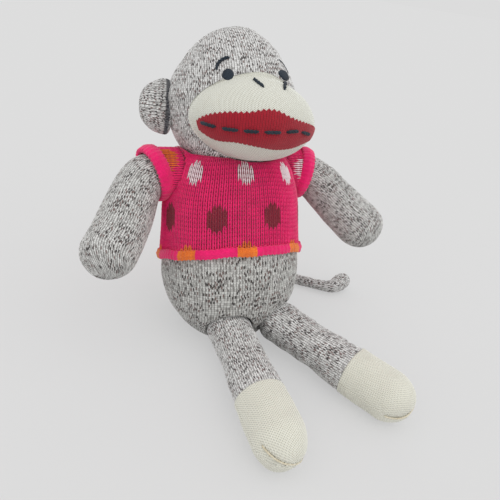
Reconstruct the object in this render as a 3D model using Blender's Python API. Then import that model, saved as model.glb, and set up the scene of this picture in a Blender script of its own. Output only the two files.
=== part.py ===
# Sock monkey doll, sitting: a stuffed knitted toy in a knitted jumper.
# Metres, +Z up. The doll faces -Y, its own left is +X, and the floor is z = 0.
# The origin is in the middle of the flat that the doll sits on.
import math

import bmesh
import bpy
import numpy as np
from mathutils import Matrix, Vector

# Fits
gap = 0.0003               # clearance between pieces that touch

# Pose in which the doll was sewn and sits
torso_lean = math.radians(16.5)      # the trunk leans back
head_lean = math.radians(1.0)        # the head stands a little straighter than the trunk
head_yaw = math.radians(5.0)         # and looks a little to its left
head_tip = math.radians(4)           # and tips to its left
leg_spread_right = math.radians(0)
leg_spread_left = math.radians(29)

# Body: a sack along the trunk's own axis, height measured from the seat's centre
body_low = -0.012
body_high = 0.185
body_half_width = 0.0680
body_half_depth = 0.062
body_width_shares = ((0, 0.80), (0.3, 1.0), (0.6, 0.97), (0.85, 0.92), (1, 0.86))
body_depth_shares = ((0, 0.90), (0.3, 1.0), (0.6, 0.9), (0.85, 0.8), (1, 0.7))
body_roundness = 2.3       # 2 is an ellipse, more is squarer
body_end_roundness = 3.6   # at the seat
body_shoulder_roundness = 5.0
body_sides = 32
body_rings = 20

# Jumper: one knitted wall over the body, with a rolled hem
jumper_wall = 0.0028
jumper_hem_height = 0.0815
jumper_hem_rise = 0.013    # the front rides up over the belly by this much, the back drops
hem_roll_radius = 0.0023
jumper_rings = 13
hem_roll_steps = 7

# Shoulders: each arm and sleeve turn in a round armhole
shoulder_height = 0.160
shoulder_seat = 0.0510     # distance of the armhole's flat floor from the middle plane
armhole_radius = 0.0245

# Arms
hand_radius = 0.0238
arm_swell_shares = ((0, 0.78), (0.45, 0.9), (1, 1))     # of the hand's radius
arm_reach_right = (0.070, -0.042, -0.060)    # from the seat to the hand's centre, trunk's frame
arm_reach_left = (0.078, -0.036, -0.050)
arm_run_out = 0.024        # how far the arm runs straight out before it droops
arm_droop = 0.046          # how gently it reaches its final direction
arm_rings = 13
arm_sides = 18

# Sleeves
sleeve_wall = 0.0028
sleeve_straight_run = 0.0027         # past the armhole's edge, before the arm bends down
sleeve_swell_shares = ((0, 1), (0.6, 1), (0.82, 1.04), (1, 0.985))     # of its radius in the armhole
sleeve_length_share = 0.12          # of the arm's curve
cuff_roll_radius = 0.0027
sleeve_rings = 7
cuff_roll_steps = 6

# Legs and feet
hip_half_spacing = 0.0265
hip_forward = 0.0365
hip_shift = 0.013          # the legs sit a little to the left of the trunk
hip_height = 0.026
leg_radius = 0.0212
leg_swell_shares = ((0, 1), (0.45, 0.95), (1, 1.05))     # of its radius at the hip
foot_half_width = 0.0220
foot_half_height = 0.0235
foot_ring_distance = 0.085           # from the hip to where the cream knit starts
toe_distance = 0.121                 # from the hip to the toe's centre
toe_length = 0.025
foot_swell_shares = ((0, 0), (0.6, 1), (1, 1))      # from the ankle's size to the foot's
toe_bluntness = 0.85                 # below 1 the toe is squarer than a ball
toe_seam_radius = 0.0010
toe_seam_sweep = math.radians(66)    # from the toe's end to each side
toe_seam_roll_right = math.radians(24)          # its outer end stands higher than its inner one
toe_seam_roll_left = math.radians(-10)
foot_sole_depth = 0.0005             # the flat it rests on
leg_lift_room = math.radians(16)     # room under the belly for the leg to rise
leg_sides = 20

# Head: an egg on the neck
neck_height = 0.166
neck_radius = 0.023
head_centre_rise = 0.060             # above the neck's centre
head_half_width = 0.0620
head_half_depth = 0.0570
head_up = 0.0645
head_down = 0.062
crown_narrowing = 0.17               # the share of its width that the head loses at the crown
jaw_fullness = 0.72                  # below 1 the head stays wide towards the neck
head_clearance = 0.003               # between the head and the top of the jumper
head_sides = 32
head_rings = 17

# Muzzle: a wide padded piece sewn on the lower face
muzzle_half_width = 0.0575
muzzle_half_depth = 0.048
muzzle_up = 0.0384
muzzle_peak = 1.3          # above 1 the top narrows towards the nose
muzzle_down = 0.0360
muzzle_forward = 0.036               # its centre, from the head's centre
muzzle_drop = 0.0145
muzzle_shift = 0.004       # sewn on a little to its left
muzzle_sides = 30
muzzle_rings = 16

# Mouth: a red knitted patch across the muzzle, with a line of running stitches
mouth_thickness = 0.0012
mouth_middle = math.radians(-3)      # sewn on by hand, not quite in the middle
mouth_turn = math.radians(75)        # how far it reaches round each side
mouth_upper_shares = ((-1, -0.27), (-0.84, -0.09), (-0.6, 0.06), (-0.28, 0.16), (-0.11, 0.28), (0.01, 0.28),
                      (0.16, 0.155), (0.48, 0.02), (0.74, -0.05), (1, -0.2))    # of the mouth's rise unit
mouth_lower_shares = ((-1, -0.55), (-0.8, -0.82), (-0.44, -0.875), (-0.1, -0.965), (0.11, -1.01),
                      (0.34, -0.91), (0.65, -0.63), (1, -0.38))
mouth_rise_unit = math.radians(40)
mouth_columns = 23
mouth_rows = 7
stitch_radius = 0.0013
stitch_start_shares = (-0.89, -0.59, -0.34, -0.105, 0.155, 0.395)        # of the mouth's turn
stitch_end_shares = (-0.69, -0.42, -0.19, 0.065, 0.305, 0.545)
stitch_line_shares = ((-0.89, -0.295), (-0.69, -0.38), (-0.2, -0.4), (0.065, -0.345), (0.3, -0.255),
                      (0.55, -0.3))          # of the mouth's rise unit

# Embroidered face
thread_radius = 0.0013
eye_radius = 0.0044
eye_bulge = 0.0016
eye_turn_right = math.radians(28.8)  # sewn by hand, not quite level
eye_turn_left = math.radians(31.5)
eye_rise_right = math.radians(17)
eye_rise_left = math.radians(23)
brow_turns = (math.radians(10.6), math.radians(10.4), math.radians(6.8), math.radians(0.6))    # from its eye
brow_rises = (math.radians(2.4), math.radians(7.1), math.radians(11.0), math.radians(13.4))
nostril_turns = (math.radians(28), math.radians(21), math.radians(13.6))
nostril_rises = (math.radians(52), math.radians(45.5), math.radians(38.8))

# Ears
ear_half_height = 0.0236
ear_reach = 0.0250                   # from the hinge line to the outer edge
ear_half_thickness = 0.0072
ear_rise = -0.012
ear_place_right = math.radians(94)   # round the head from the front
ear_place_left = math.radians(86)
ear_facing = math.radians(6)         # they face a little outwards
ear_sides = 14
ear_rings = 11
ear_root_lift = 0.001                # its hinge line stands this far off the head

# Tail
tail_bulb_radius = 0.0095
tail_swell_shares = ((0, 0.44), (0.1, 0.58), (0.8, 0.61), (0.93, 1), (1, 1))     # of the bulb's radius
tail_sides = 10
tail_rings = 22
tail_route = ((0.000, 0.064, 0.0105), (0.007, 0.084, 0.0080), (0.050, 0.095, 0.0074),
              (0.104, 0.057, 0.0072), (0.141, 0.032, 0.0088), (0.162, 0.037, 0.0112))

# Motion that the solids leave room for
nod_forward = math.radians(4)
nod_back = math.radians(6)

# Colours
marl_grey = (0.50, 0.48, 0.46)
cream = (0.77, 0.74, 0.64)
heel_red = (0.36, 0.010, 0.030)
jumper_pink = (0.72, 0.010, 0.14)
thread_dark = (0.020, 0.028, 0.045)


def clear_scene():
    for thing in list(bpy.data.objects):
        bpy.data.objects.remove(thing, do_unlink=True)


def knit_material(name, colour):
    """One woolly finish: matt and not metallic."""
    material = bpy.data.materials.get(name) or bpy.data.materials.new(name)
    material.use_nodes = True
    shader = material.node_tree.nodes["Principled BSDF"]
    shader.inputs["Base Color"].default_value = (*colour, 1)
    shader.inputs["Roughness"].default_value = 0.95
    shader.inputs["Metallic"].default_value = 0
    material.diffuse_color = (*colour, 1)
    return material


def frame_at(name, place, turn, parent=None):
    """An empty that carries pieces: a joint's centre or a part's own frame."""
    empty = bpy.data.objects.new(name, None)
    bpy.context.collection.objects.link(empty)
    empty.location = place
    empty.rotation_euler = turn
    empty.parent = parent
    empty.hide_render = True
    return empty


def follow(shares, where):
    """Smooth curve through (place, value) shares, read at the places asked for."""
    places = np.array([row[0] for row in shares], float)
    values = np.array([row[1] for row in shares], float)
    slopes = np.gradient(values, places)
    where = np.clip(where, places[0], places[-1])
    left = np.clip(np.searchsorted(places, where, side="right") - 1, 0, len(places) - 2)
    span = places[left + 1] - places[left]
    t = (where - places[left]) / span
    rise = values[left + 1] - values[left]
    bend = (slopes[left] * span - rise) * (1 - t) - (slopes[left + 1] * span - rise) * t
    return values[left] + rise * t + t * (1 - t) * bend


def turns(sides):
    """Angles round a ring, from the front (-Y) towards the doll's left (+X)."""
    return np.arange(sides) * math.tau / sides


def oval(sides, half_width, half_depth, roundness=2.0):
    """Closed outline round the Z axis, starting at the front; 2 is an ellipse."""
    angle = turns(sides)
    across = np.sin(angle)
    along = -np.cos(angle)
    reach = (abs(across) ** roundness + abs(along) ** roundness) ** (-1 / roundness)
    return np.column_stack((half_width * across * reach, half_depth * along * reach,
                            np.zeros(sides)))


def add_object(name, build, material, parent=None, smooth=True):
    mesh = bpy.data.meshes.new(name)
    bmesh.ops.recalc_face_normals(build, faces=build.faces)
    build.to_mesh(mesh)
    build.free()
    if smooth:
        mesh.shade_smooth()
        mesh.set_sharp_from_angle(angle=math.radians(50))
    thing = bpy.data.objects.new(name, mesh)
    bpy.context.collection.objects.link(thing)
    if material is not None:
        mesh.materials.append(material)
    thing.parent = parent
    return thing


def loft(name, rings, material, parent=None, closed=False):
    """Skin over a list of rings; flat caps on the end rings unless it closes on itself."""
    build = bmesh.new()
    loops = [[build.verts.new(tuple(point)) for point in ring] for ring in rings]
    pairs = list(zip(loops, loops[1:]))
    if closed:
        pairs.append((loops[-1], loops[0]))
    for low, high in pairs:
        for here in range(len(low)):
            after = (here + 1) % len(low)
            build.faces.new((low[here], low[after], high[after], high[here]))
    if not closed:
        build.faces.new(loops[0][::-1])
        build.faces.new(loops[-1])
    return add_object(name, build, material, parent)


def as_cutter(thing):
    thing.hide_render = True
    thing.display_type = "WIRE"
    return thing


def cut(thing, *cutters):
    for cutter in cutters:
        modifier = thing.modifiers.new("cut by " + cutter.name, "BOOLEAN")
        modifier.operation = "DIFFERENCE"
        modifier.object = cutter


def box_cutter(name, low, high, parent=None):
    build = bmesh.new()
    middle = [(a + b) / 2 for a, b in zip(low, high)]
    size = [b - a for a, b in zip(low, high)]
    bmesh.ops.create_cube(build, size=1, matrix=Matrix.LocRotScale(middle, None, size))
    return as_cutter(add_object(name, build, None, parent, smooth=False))


def ball_cutter(name, centre, radius, parent=None, segments=28):
    build = bmesh.new()
    bmesh.ops.create_uvsphere(build, u_segments=segments, v_segments=segments // 2,
                              radius=radius, matrix=Matrix.Translation(centre))
    return as_cutter(add_object(name, build, None, parent))


# Body and jumper share one surface

def body_ring(share, lift, sides):
    """The sack's outline at a share of its height, pushed outwards by lift."""
    across = 2 * share - 1
    ends = (1 - abs(across) ** (body_shoulder_roundness if across > 0 else body_end_roundness)) ** (1 / 2)
    wide = (body_half_width + lift) * follow(body_width_shares, share) * ends
    deep = (body_half_depth + lift) * follow(body_depth_shares, share) * ends
    middle = (body_low + body_high) / 2
    reach = (body_high - body_low) / 2 + lift
    ring = oval(sides, wide, deep, body_roundness)
    ring[:, 2] = middle + reach * across
    return ring


def share_at(height):
    return (height - body_low) / (body_high - body_low)


def end_spaced(count):
    """Shares from just after 0 to just before 1, closer together near both ends."""
    angle = (np.arange(count) + 0.5) / count * math.pi
    return (1 - np.cos(angle)) / 2


def make_body(parent):
    rings = [body_ring(share, 0, body_sides) for share in end_spaced(body_rings)]
    return loft("body", rings, knit_material("marl_knit", marl_grey), parent)


def jumper_ring(share, lift, drop=0):
    """A round of knitting on the body: it rises at the front, most of all at the hem."""
    front = np.cos(turns(body_sides))
    top = share_at(shoulder_height)
    ease = max(0, (top - share) / (top - share_at(jumper_hem_height)))
    rise = jumper_hem_rise * ease * front
    ring = np.empty((body_sides, 3))
    for place in range(body_sides):
        moved = share + (rise[place] - drop) / (body_high - body_low)
        ring[place] = body_ring(moved, lift, body_sides)[place]
    return ring


def make_jumper(parent):
    """Down the inner face, round the hem roll, up the outer face: one turned-in wall."""
    low = share_at(jumper_hem_height)
    high = end_spaced(body_rings)[-1]
    eased = np.sin(np.linspace(0, math.pi / 2, jumper_rings))
    shares = low + (high - low) * eased
    inner = [jumper_ring(share, 2 * gap) for share in shares]
    outer = [jumper_ring(share, 2 * gap + jumper_wall) for share in shares]
    roll = []
    for angle in np.linspace(0, 1.5 * math.pi, hem_roll_steps + 2)[1:]:
        out = hem_roll_radius * (1 - math.cos(angle))
        roll.append(jumper_ring(low, 2 * gap + out, hem_roll_radius * math.sin(angle)))
    rings = inner[::-1] + roll + outer[1:]
    return loft("jumper", rings, knit_material("jumper_knit", jumper_pink), parent)


# Arms and sleeves follow one curve: straight out of the armhole, then drooping

def armhole_depth():
    """From the armhole's floor to the outside of the jumper at the hole's lower edge."""
    share = share_at(shoulder_height - armhole_radius)
    side = (body_half_width + 2 * gap + jumper_wall) * follow(body_width_shares, share)
    return float(side) - shoulder_seat + sleeve_straight_run


def arm_curve(side, shares):
    """Points and directions of a Bezier curve from the armhole's floor to the hand."""
    start = np.array((armhole_depth(), 0, 0))
    hand = np.array(arm_reach_left if side > 0 else arm_reach_right)
    out = np.array((1, 0, 0.0))
    droop = hand - np.array((arm_run_out, 0, 0))
    droop = droop / np.linalg.norm(droop)
    knots = (start, start + arm_run_out * out, hand - arm_droop * droop, hand)
    t = np.asarray(shares, float)[:, None]
    u = 1 - t
    points = (u ** 3 * knots[0] + 3 * u ** 2 * t * knots[1]
              + 3 * u * t ** 2 * knots[2] + t ** 3 * knots[3])
    along = (u ** 2 * (knots[1] - knots[0]) + 2 * u * t * (knots[2] - knots[1])
             + t ** 2 * (knots[3] - knots[2]))
    mirror = np.array((side, 1, 1.0))
    return points * mirror, along / np.linalg.norm(along, axis=1)[:, None] * mirror


def rings_along(points, directions, radii, sides):
    """Round rings square to a curve, carried along it without twisting."""
    rings = []
    up = Vector((0, 0, 1))
    angle = turns(sides)[:, None]
    for point, direction, radius in zip(points, directions, radii):
        axis = Vector(direction)
        up = (up - axis * up.dot(axis)).normalized()
        side = axis.cross(up)
        rings.append(point + radius * (np.cos(angle) * np.array(up) + np.sin(angle) * np.array(side)))
    return rings


def start_at_seat(side, points, directions, radii):
    """Adds the straight stretch inside the armhole, from just off its floor."""
    return (np.vstack(([[side * gap, 0, 0]], points)), np.vstack((directions[:1], directions)),
            np.append(radii[0], radii))


def make_arm(name, side, parent):
    """A stuffed tube that swells towards the hand and ends in a half ball."""
    shares = np.linspace(0, 1, arm_rings)
    points, directions = arm_curve(side, shares)
    radii = hand_radius * follow(arm_swell_shares, shares)
    points, directions, radii = start_at_seat(side, points, directions, radii)
    end_angles = np.linspace(0, math.pi / 2, 7)[1:-1]
    tip = [points[-1] + directions[-1] * hand_radius * math.sin(angle) for angle in end_angles]
    points = np.vstack((points, tip))
    directions = np.vstack((directions, [directions[-1]] * len(tip)))
    radii = np.append(radii, hand_radius * np.cos(end_angles))
    rings = rings_along(points, directions, radii, arm_sides)
    return loft(name, rings, knit_material("marl_knit", marl_grey), parent)


def make_sleeve(name, side, parent):
    """A short puffed tube round the arm's root, its edge rolled outwards into a cuff."""
    shares = np.linspace(0, sleeve_length_share, sleeve_rings)
    points, directions = arm_curve(side, shares)
    outer = (armhole_radius - gap) * follow(sleeve_swell_shares, shares / sleeve_length_share)
    points, directions, outer = start_at_seat(side, points, directions, outer)
    inner = outer - sleeve_wall
    rings = rings_along(points, directions, inner, arm_sides)
    angles = np.linspace(0, 1.6 * math.pi, cuff_roll_steps + 2)[1:]
    edge, heading = points[-1], directions[-1]
    roll_points = [edge + heading * cuff_roll_radius * math.sin(angle) for angle in angles]
    roll_radii = [inner[-1] + cuff_roll_radius * (1 - math.cos(angle)) for angle in angles]
    roll = rings_along(roll_points, [heading] * len(angles), roll_radii, arm_sides)
    back = rings_along(points, directions, outer, arm_sides)[-2::-1]
    return loft(name, rings + roll + back, knit_material("jumper_knit", jumper_pink), parent, closed=True)


# Legs and feet lie on the floor, each along its own line from the hip

def leg_frame(side, spread, name):
    """A frame at the hip whose Z axis runs down the leg and whose Y axis is up."""
    drop = hip_height - (foot_half_height - foot_sole_depth)
    level = math.sqrt(toe_distance ** 2 - drop ** 2)
    direction = Vector((side * level * math.sin(spread), -level * math.cos(spread), -drop))
    empty = frame_at(name, (hip_shift + side * hip_half_spacing, -hip_forward, hip_height), (0, 0, 0))
    empty.rotation_euler = direction.to_track_quat("Z", "Y").to_euler()
    return empty


def leg_ring(half_width, half_height, distance):
    ring = oval(leg_sides, half_width, half_height)
    ring[:, 2] += distance
    return ring


def make_leg(name, parent):
    """Round root in the hip's hollow, then a slightly waisted tube to the foot's seam."""
    root_angles = np.linspace(-math.pi / 2, 0, 7)[1:]
    rings = [leg_ring(leg_radius * math.cos(a), leg_radius * math.cos(a), leg_radius * math.sin(a))
             for a in root_angles]
    end = foot_ring_distance - gap / 2
    for share in np.linspace(0, 1, 8)[1:]:
        radius = leg_radius * follow(leg_swell_shares, share)
        rings.append(leg_ring(radius, radius, share * end))
    return loft(name, rings, knit_material("marl_knit", marl_grey), parent)


def make_foot(name, parent):
    """A sock's toe: it swells from the ankle, then closes in a blunt oval end."""
    start = foot_ring_distance + gap / 2
    ankle = leg_radius * leg_swell_shares[-1][1]
    rings = []
    for share in np.linspace(0, 1, 7):
        swell = follow(foot_swell_shares, share)
        wide = ankle + (foot_half_width - ankle) * swell
        tall = ankle + (foot_half_height - ankle) * swell
        rings.append(leg_ring(wide, tall, start + share * (toe_distance - start)))
    for angle in np.linspace(0, math.pi / 2, 8)[1:-1]:
        blunt = math.cos(angle) ** toe_bluntness
        rings.append(leg_ring(foot_half_width * blunt, foot_half_height * blunt,
                              toe_distance + toe_length * math.sin(angle)))
    return loft(name, rings, knit_material("cream_knit", cream), parent)


def thread_bar(name, points, lifts, radius, colour, parent):
    """A short raised thread along a few points; lifts are the outward directions there."""
    sides = 6
    thread_name = "cream_knit" if colour == cream else "dark_thread"
    angle = turns(sides)[:, None]
    points = np.array(points)
    along = np.gradient(points, axis=0)
    ends = np.sin(np.linspace(0, math.pi, len(points) + 2)[1:-1]) ** 0.4
    rings = []
    for point, heading, lift, share in zip(points, along, lifts, ends):
        heading = heading / np.linalg.norm(heading)
        lift = lift - heading * np.dot(lift, heading)
        lift = lift / np.linalg.norm(lift)
        side = np.cross(heading, lift)
        centre = point + lift * radius
        rings.append(centre + radius * share * (np.cos(angle) * lift + np.sin(angle) * side))
    return loft(name, rings, knit_material(thread_name, colour), parent)


def make_toe_seam(name, roll, parent):
    """The ridge where the toe was closed, over its end from side to side."""
    points = []
    lifts = []
    for lean in np.linspace(-1, 1, 14) * toe_seam_sweep:
        level = math.copysign(abs(math.sin(lean)) ** toe_bluntness, lean)
        normal = np.array((math.sin(lean) * math.cos(roll), -math.sin(lean) * math.sin(roll), math.cos(lean)))
        points.append(np.array((foot_half_width * level * math.cos(roll),
                                -foot_half_height * level * math.sin(roll),
                                toe_distance + toe_length * math.cos(lean))) + normal * gap)
        lifts.append(normal)
    return thread_bar(name, points, lifts, toe_seam_radius, cream, parent)


# Head and muzzle are egg shapes; turn goes round from the front, rise goes up

def head_point(turn, rise, lift=0):
    tall = head_up if rise > 0 else head_down
    level = math.cos(rise) ** (1 if rise > 0 else jaw_fullness)
    level *= 1 - crown_narrowing * max(0, math.sin(rise))
    return np.array(((head_half_width + lift) * level * math.sin(turn),
                     -(head_half_depth + lift) * level * math.cos(turn),
                     (tall + lift) * math.sin(rise)))


def muzzle_point(turn, rise, lift=0):
    tall = muzzle_up if rise > 0 else muzzle_down
    level = math.cos(rise) ** (muzzle_peak if rise > 0 else 1)
    return np.array((muzzle_shift + (muzzle_half_width + lift) * level * math.sin(turn),
                     -muzzle_forward - (muzzle_half_depth + lift) * level * math.cos(turn),
                     -muzzle_drop + (tall + lift) * math.sin(rise)))


def outward(point_at, turn, rise, step=0.01):
    """Unit normal of a surface, from its slopes at one place."""
    across = point_at(turn + step, rise) - point_at(turn - step, rise)
    upward = point_at(turn, rise + step) - point_at(turn, rise - step)
    normal = np.cross(across, upward)
    return normal / np.linalg.norm(normal)


def egg(name, point_at, sides, ring_count, lift, material, parent):
    rises = np.linspace(-math.pi / 2, math.pi / 2, ring_count + 2)[1:-1]
    rings = [[point_at(turn, rise, lift) for turn in turns(sides)] for rise in rises]
    return loft(name, rings, material, parent)


def patch(name, point_at, columns, rows, edge, lift, thickness, material, parent):
    """A thin sheet laid on a surface; edge(column share) gives its low and high rise there."""
    def sheet(height):
        grid = []
        for column in np.linspace(-1, 1, columns):
            turn, low, high = edge(column)
            grid.append([point_at(turn, rise, height) for rise in np.linspace(low, high, rows)])
        return grid
    build = bmesh.new()
    layers = []
    for height in (lift, lift + thickness):
        layers.append([[build.verts.new(tuple(point)) for point in row] for row in sheet(height)])
    for layer in layers:
        for left, right in zip(layer, layer[1:]):
            for row in range(rows - 1):
                build.faces.new((left[row], right[row], right[row + 1], left[row + 1]))
    under, over = [[row[0] for row in layer] + layer[-1][1:] + [row[-1] for row in layer[-2::-1]]
                   + layer[0][-2:0:-1] for layer in layers]
    for here in range(len(under)):
        after = (here + 1) % len(under)
        build.faces.new((under[here], under[after], over[after], over[here]))
    return add_object(name, build, material, parent)


def mouth_edge(column):
    """The mouth is widest open a little right of its middle and keeps a blunt corner each side."""
    return (mouth_middle + column * mouth_turn, mouth_rise_unit * follow(mouth_lower_shares, column),
            mouth_rise_unit * follow(mouth_upper_shares, column))


def make_head(parent):
    wool = knit_material("marl_knit", marl_grey)
    return egg("head", head_point, head_sides, head_rings, 0, wool, parent)


def make_muzzle(parent):
    wool = knit_material("cream_knit", cream)
    return egg("muzzle", muzzle_point, muzzle_sides, muzzle_rings, 0, wool, parent)


def make_mouth(parent):
    patch("mouth", muzzle_point, mouth_columns, mouth_rows, mouth_edge, gap, mouth_thickness,
          knit_material("red_knit", heel_red), parent)
    for number, ends in enumerate(zip(stitch_start_shares, stitch_end_shares), 1):
        lifted = 2 * gap + mouth_thickness
        shares = np.linspace(*ends, 6)
        places = [(mouth_middle + share * mouth_turn, mouth_rise_unit * follow(stitch_line_shares, share))
                  for share in shares]
        points = [muzzle_point(turn, rise, lifted) for turn, rise in places]
        lifts = [outward(muzzle_point, turn, rise) for turn, rise in places]
        thread_bar(f"mouth_stitch_{number}", points, lifts, stitch_radius, thread_dark, parent)


def eye_place(side):
    if side > 0:
        return eye_turn_left, eye_rise_left
    return -eye_turn_right, eye_rise_right


def make_eye(name, side, parent):
    """An embroidered round: a low dome of thread standing on the head."""
    centre = head_point(*eye_place(side), gap)
    normal = Vector(outward(head_point, *eye_place(side)))
    rings = []
    for angle in np.linspace(0, math.pi / 2, 5)[:-1]:
        ring = oval(16, eye_radius * math.cos(angle), eye_radius * math.cos(angle))
        ring[:, 2] = eye_bulge * math.sin(angle)
        rings.append(ring)
    eye = loft(name, rings, knit_material("dark_thread", thread_dark), parent)
    eye.location = centre
    eye.rotation_euler = normal.to_track_quat("Z", "Y").to_euler()
    return eye


def make_brow(name, side, parent):
    """An arched thread above the outer side of the eye."""
    turn, rise = eye_place(side)
    knots = np.arange(len(brow_turns))
    shares = np.linspace(0, knots[-1], 10)
    points = []
    lifts = []
    for share in shares:
        place = (turn + side * follow(tuple(zip(knots, brow_turns)), share),
                 rise + follow(tuple(zip(knots, brow_rises)), share))
        points.append(head_point(*place, gap))
        lifts.append(outward(head_point, *place))
    return thread_bar(name, points, lifts, thread_radius, thread_dark, parent)


def make_nostril(name, side, parent):
    knots = np.arange(len(nostril_turns))
    places = [(side * follow(tuple(zip(knots, nostril_turns)), share),
               follow(tuple(zip(knots, nostril_rises)), share)) for share in np.linspace(0, knots[-1], 6)]
    points = [muzzle_point(turn, rise, gap) for turn, rise in places]
    lifts = [outward(muzzle_point, turn, rise) for turn, rise in places]
    return thread_bar(name, points, lifts, thread_radius, thread_dark, parent)


def ear_ring(height, half_thickness, reach, sides):
    """A slice of the ear: a half round at the hinge line and another at its outer edge."""
    ring = oval(sides, half_thickness, half_thickness)
    ring[:, 0] += np.where(ring[:, 0] > 0, max(reach - half_thickness, 0), 0)
    ring[:, 2] = height
    return ring


def make_ear(name, side, parent):
    """A padded half round; its straight edge is rounded about the hinge line."""
    rings = []
    for angle in np.linspace(-math.pi / 2, math.pi / 2, ear_rings + 2)[1:-1]:
        height = ear_half_height * math.sin(angle)
        thin = ear_half_thickness * math.cos(angle) ** 0.5
        ring = ear_ring(height, thin, ear_reach * math.cos(angle), ear_sides)
        ring[:, 0] *= side
        rings.append(ring)
    return loft(name, rings, knit_material("marl_knit", marl_grey), parent)


def ear_groove(name, parent):
    """The hollow that the ear's rounded root turns in."""
    rings = []
    for angle in np.linspace(-math.pi / 2, math.pi / 2, ear_rings + 2)[1:-1]:
        radius = ear_half_thickness * math.cos(angle) ** 0.5 + gap
        ring = oval(2 * ear_sides, radius, radius)
        ring[:, 2] = (ear_half_height + gap) * math.sin(angle)
        rings.append(ring)
    return as_cutter(loft(name, rings, None, parent))


def make_tail(name, parent):
    """Root ball at the back of the body, a thin tube along the floor, a stuffed bulb at its end."""
    route = np.array(tail_route)
    stations = np.linspace(0, 1, len(route))
    shares = np.linspace(0, 1, tail_rings)
    points = np.column_stack([follow(tuple(zip(stations, route[:, axis])), shares) for axis in range(3)])
    radii = tail_bulb_radius * follow(tail_swell_shares, shares)
    directions = np.gradient(points, axis=0)
    directions = directions / np.linalg.norm(directions, axis=1)[:, None]
    start_angles = np.linspace(-math.pi / 2, 0, 5)[1:-1]
    end_angles = np.linspace(0, math.pi / 2, 6)[1:-1]
    heads = [points[0] + directions[0] * radii[0] * math.sin(a) for a in start_angles]
    tips = [points[-1] + directions[-1] * tail_bulb_radius * math.sin(a) for a in end_angles]
    radii = np.concatenate((radii[0] * np.cos(start_angles), radii, radii[-1] * np.cos(end_angles)))
    directions = np.vstack(([directions[0]] * len(heads), directions, [directions[-1]] * len(tips)))
    points = np.vstack((heads, points, tips))
    return loft(name, rings_along(points, directions, radii, tail_sides),
                knit_material("marl_knit", marl_grey), parent)


# Cutters that seat one piece in another

def hip_cutter(name):
    """The room that both legs sweep, from lifted to hanging: a hollow round the hip axis."""
    radius = leg_radius + gap
    far = 2 * body_half_width
    outline = []
    for angle in np.linspace(math.pi / 2 + leg_lift_room, math.pi, 9):
        outline.append((-hip_forward - radius * math.cos(angle), hip_height + radius * math.sin(angle)))
    outline.append((outline[-1][0], -far))
    outline.append((-far, -far))
    rise = far * math.tan(leg_lift_room)
    outline.append((outline[0][0] - far, outline[0][1] + rise))
    build = bmesh.new()
    left, right = [[build.verts.new((x, y, z)) for y, z in outline] for x in (-far, far)]
    build.faces.new(left)
    build.faces.new(right[::-1])
    for here in range(len(outline)):
        after = (here + 1) % len(outline)
        build.faces.new((left[here], right[here], right[after], left[after]))
    return as_cutter(add_object(name, build, None, smooth=False))


def armhole_cutter(name, side, parent):
    build = bmesh.new()
    length = body_half_width
    middle = side * (shoulder_seat + length / 2)
    matrix = Matrix.Translation((middle, 0, shoulder_height)) @ Matrix.Rotation(math.pi / 2, 4, "Y")
    bmesh.ops.create_cone(build, cap_ends=True, segments=36, radius1=armhole_radius,
                          radius2=armhole_radius, depth=length, matrix=matrix)
    return as_cutter(add_object(name, build, None, parent))


clear_scene()

torso = frame_at("torso_frame", (0, 0, 0), (-torso_lean, 0, 0))
neck = frame_at("neck_frame", (0, 0, neck_height), (0, 0, 0), torso)
head_frame = frame_at("head_frame", (0, 0, head_centre_rise), (head_lean, head_tip, head_yaw), neck)

body = make_body(torso)
jumper = make_jumper(torso)
head = make_head(head_frame)
muzzle = make_muzzle(head_frame)
make_mouth(head_frame)

neck_ball = bmesh.new()
bmesh.ops.create_uvsphere(neck_ball, u_segments=20, v_segments=10, radius=neck_radius)
add_object("neck", neck_ball, knit_material("marl_knit", marl_grey), neck)

floor = box_cutter("floor_cutter", (-1 * body_high, -1 * body_high, -body_high), (body_high, body_high, 0))
neck_hollow = ball_cutter("neck_hollow", (0, 0, 0), neck_radius + gap, neck)
hips = hip_cutter("hip_hollow")
tail_root_radius = tail_bulb_radius * tail_swell_shares[0][1]
tail_hollow = ball_cutter("tail_hollow", tail_route[0], tail_root_radius + gap, segments=20)
head_room = []
for label, nod in (("back", nod_back), ("rest", 0), ("forward", -nod_forward)):
    tilt = frame_at("nod_" + label, (0, 0, 0), (-nod, 0, 0), neck)
    carried = frame_at("head_at_nod_" + label, head_frame.location, head_frame.rotation_euler, tilt)
    head_room.append(as_cutter(egg("head_room_" + label, head_point, head_sides, head_rings,
                                   head_clearance, None, carried)))
muzzle_bed = as_cutter(egg("muzzle_bed", head_point, head_sides, head_rings, gap, None, head_frame))

cut(head, neck_hollow)
cut(muzzle, muzzle_bed)
cut(jumper, *head_room)
cut(body, floor, hips, neck_hollow, tail_hollow, *head_room)

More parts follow.
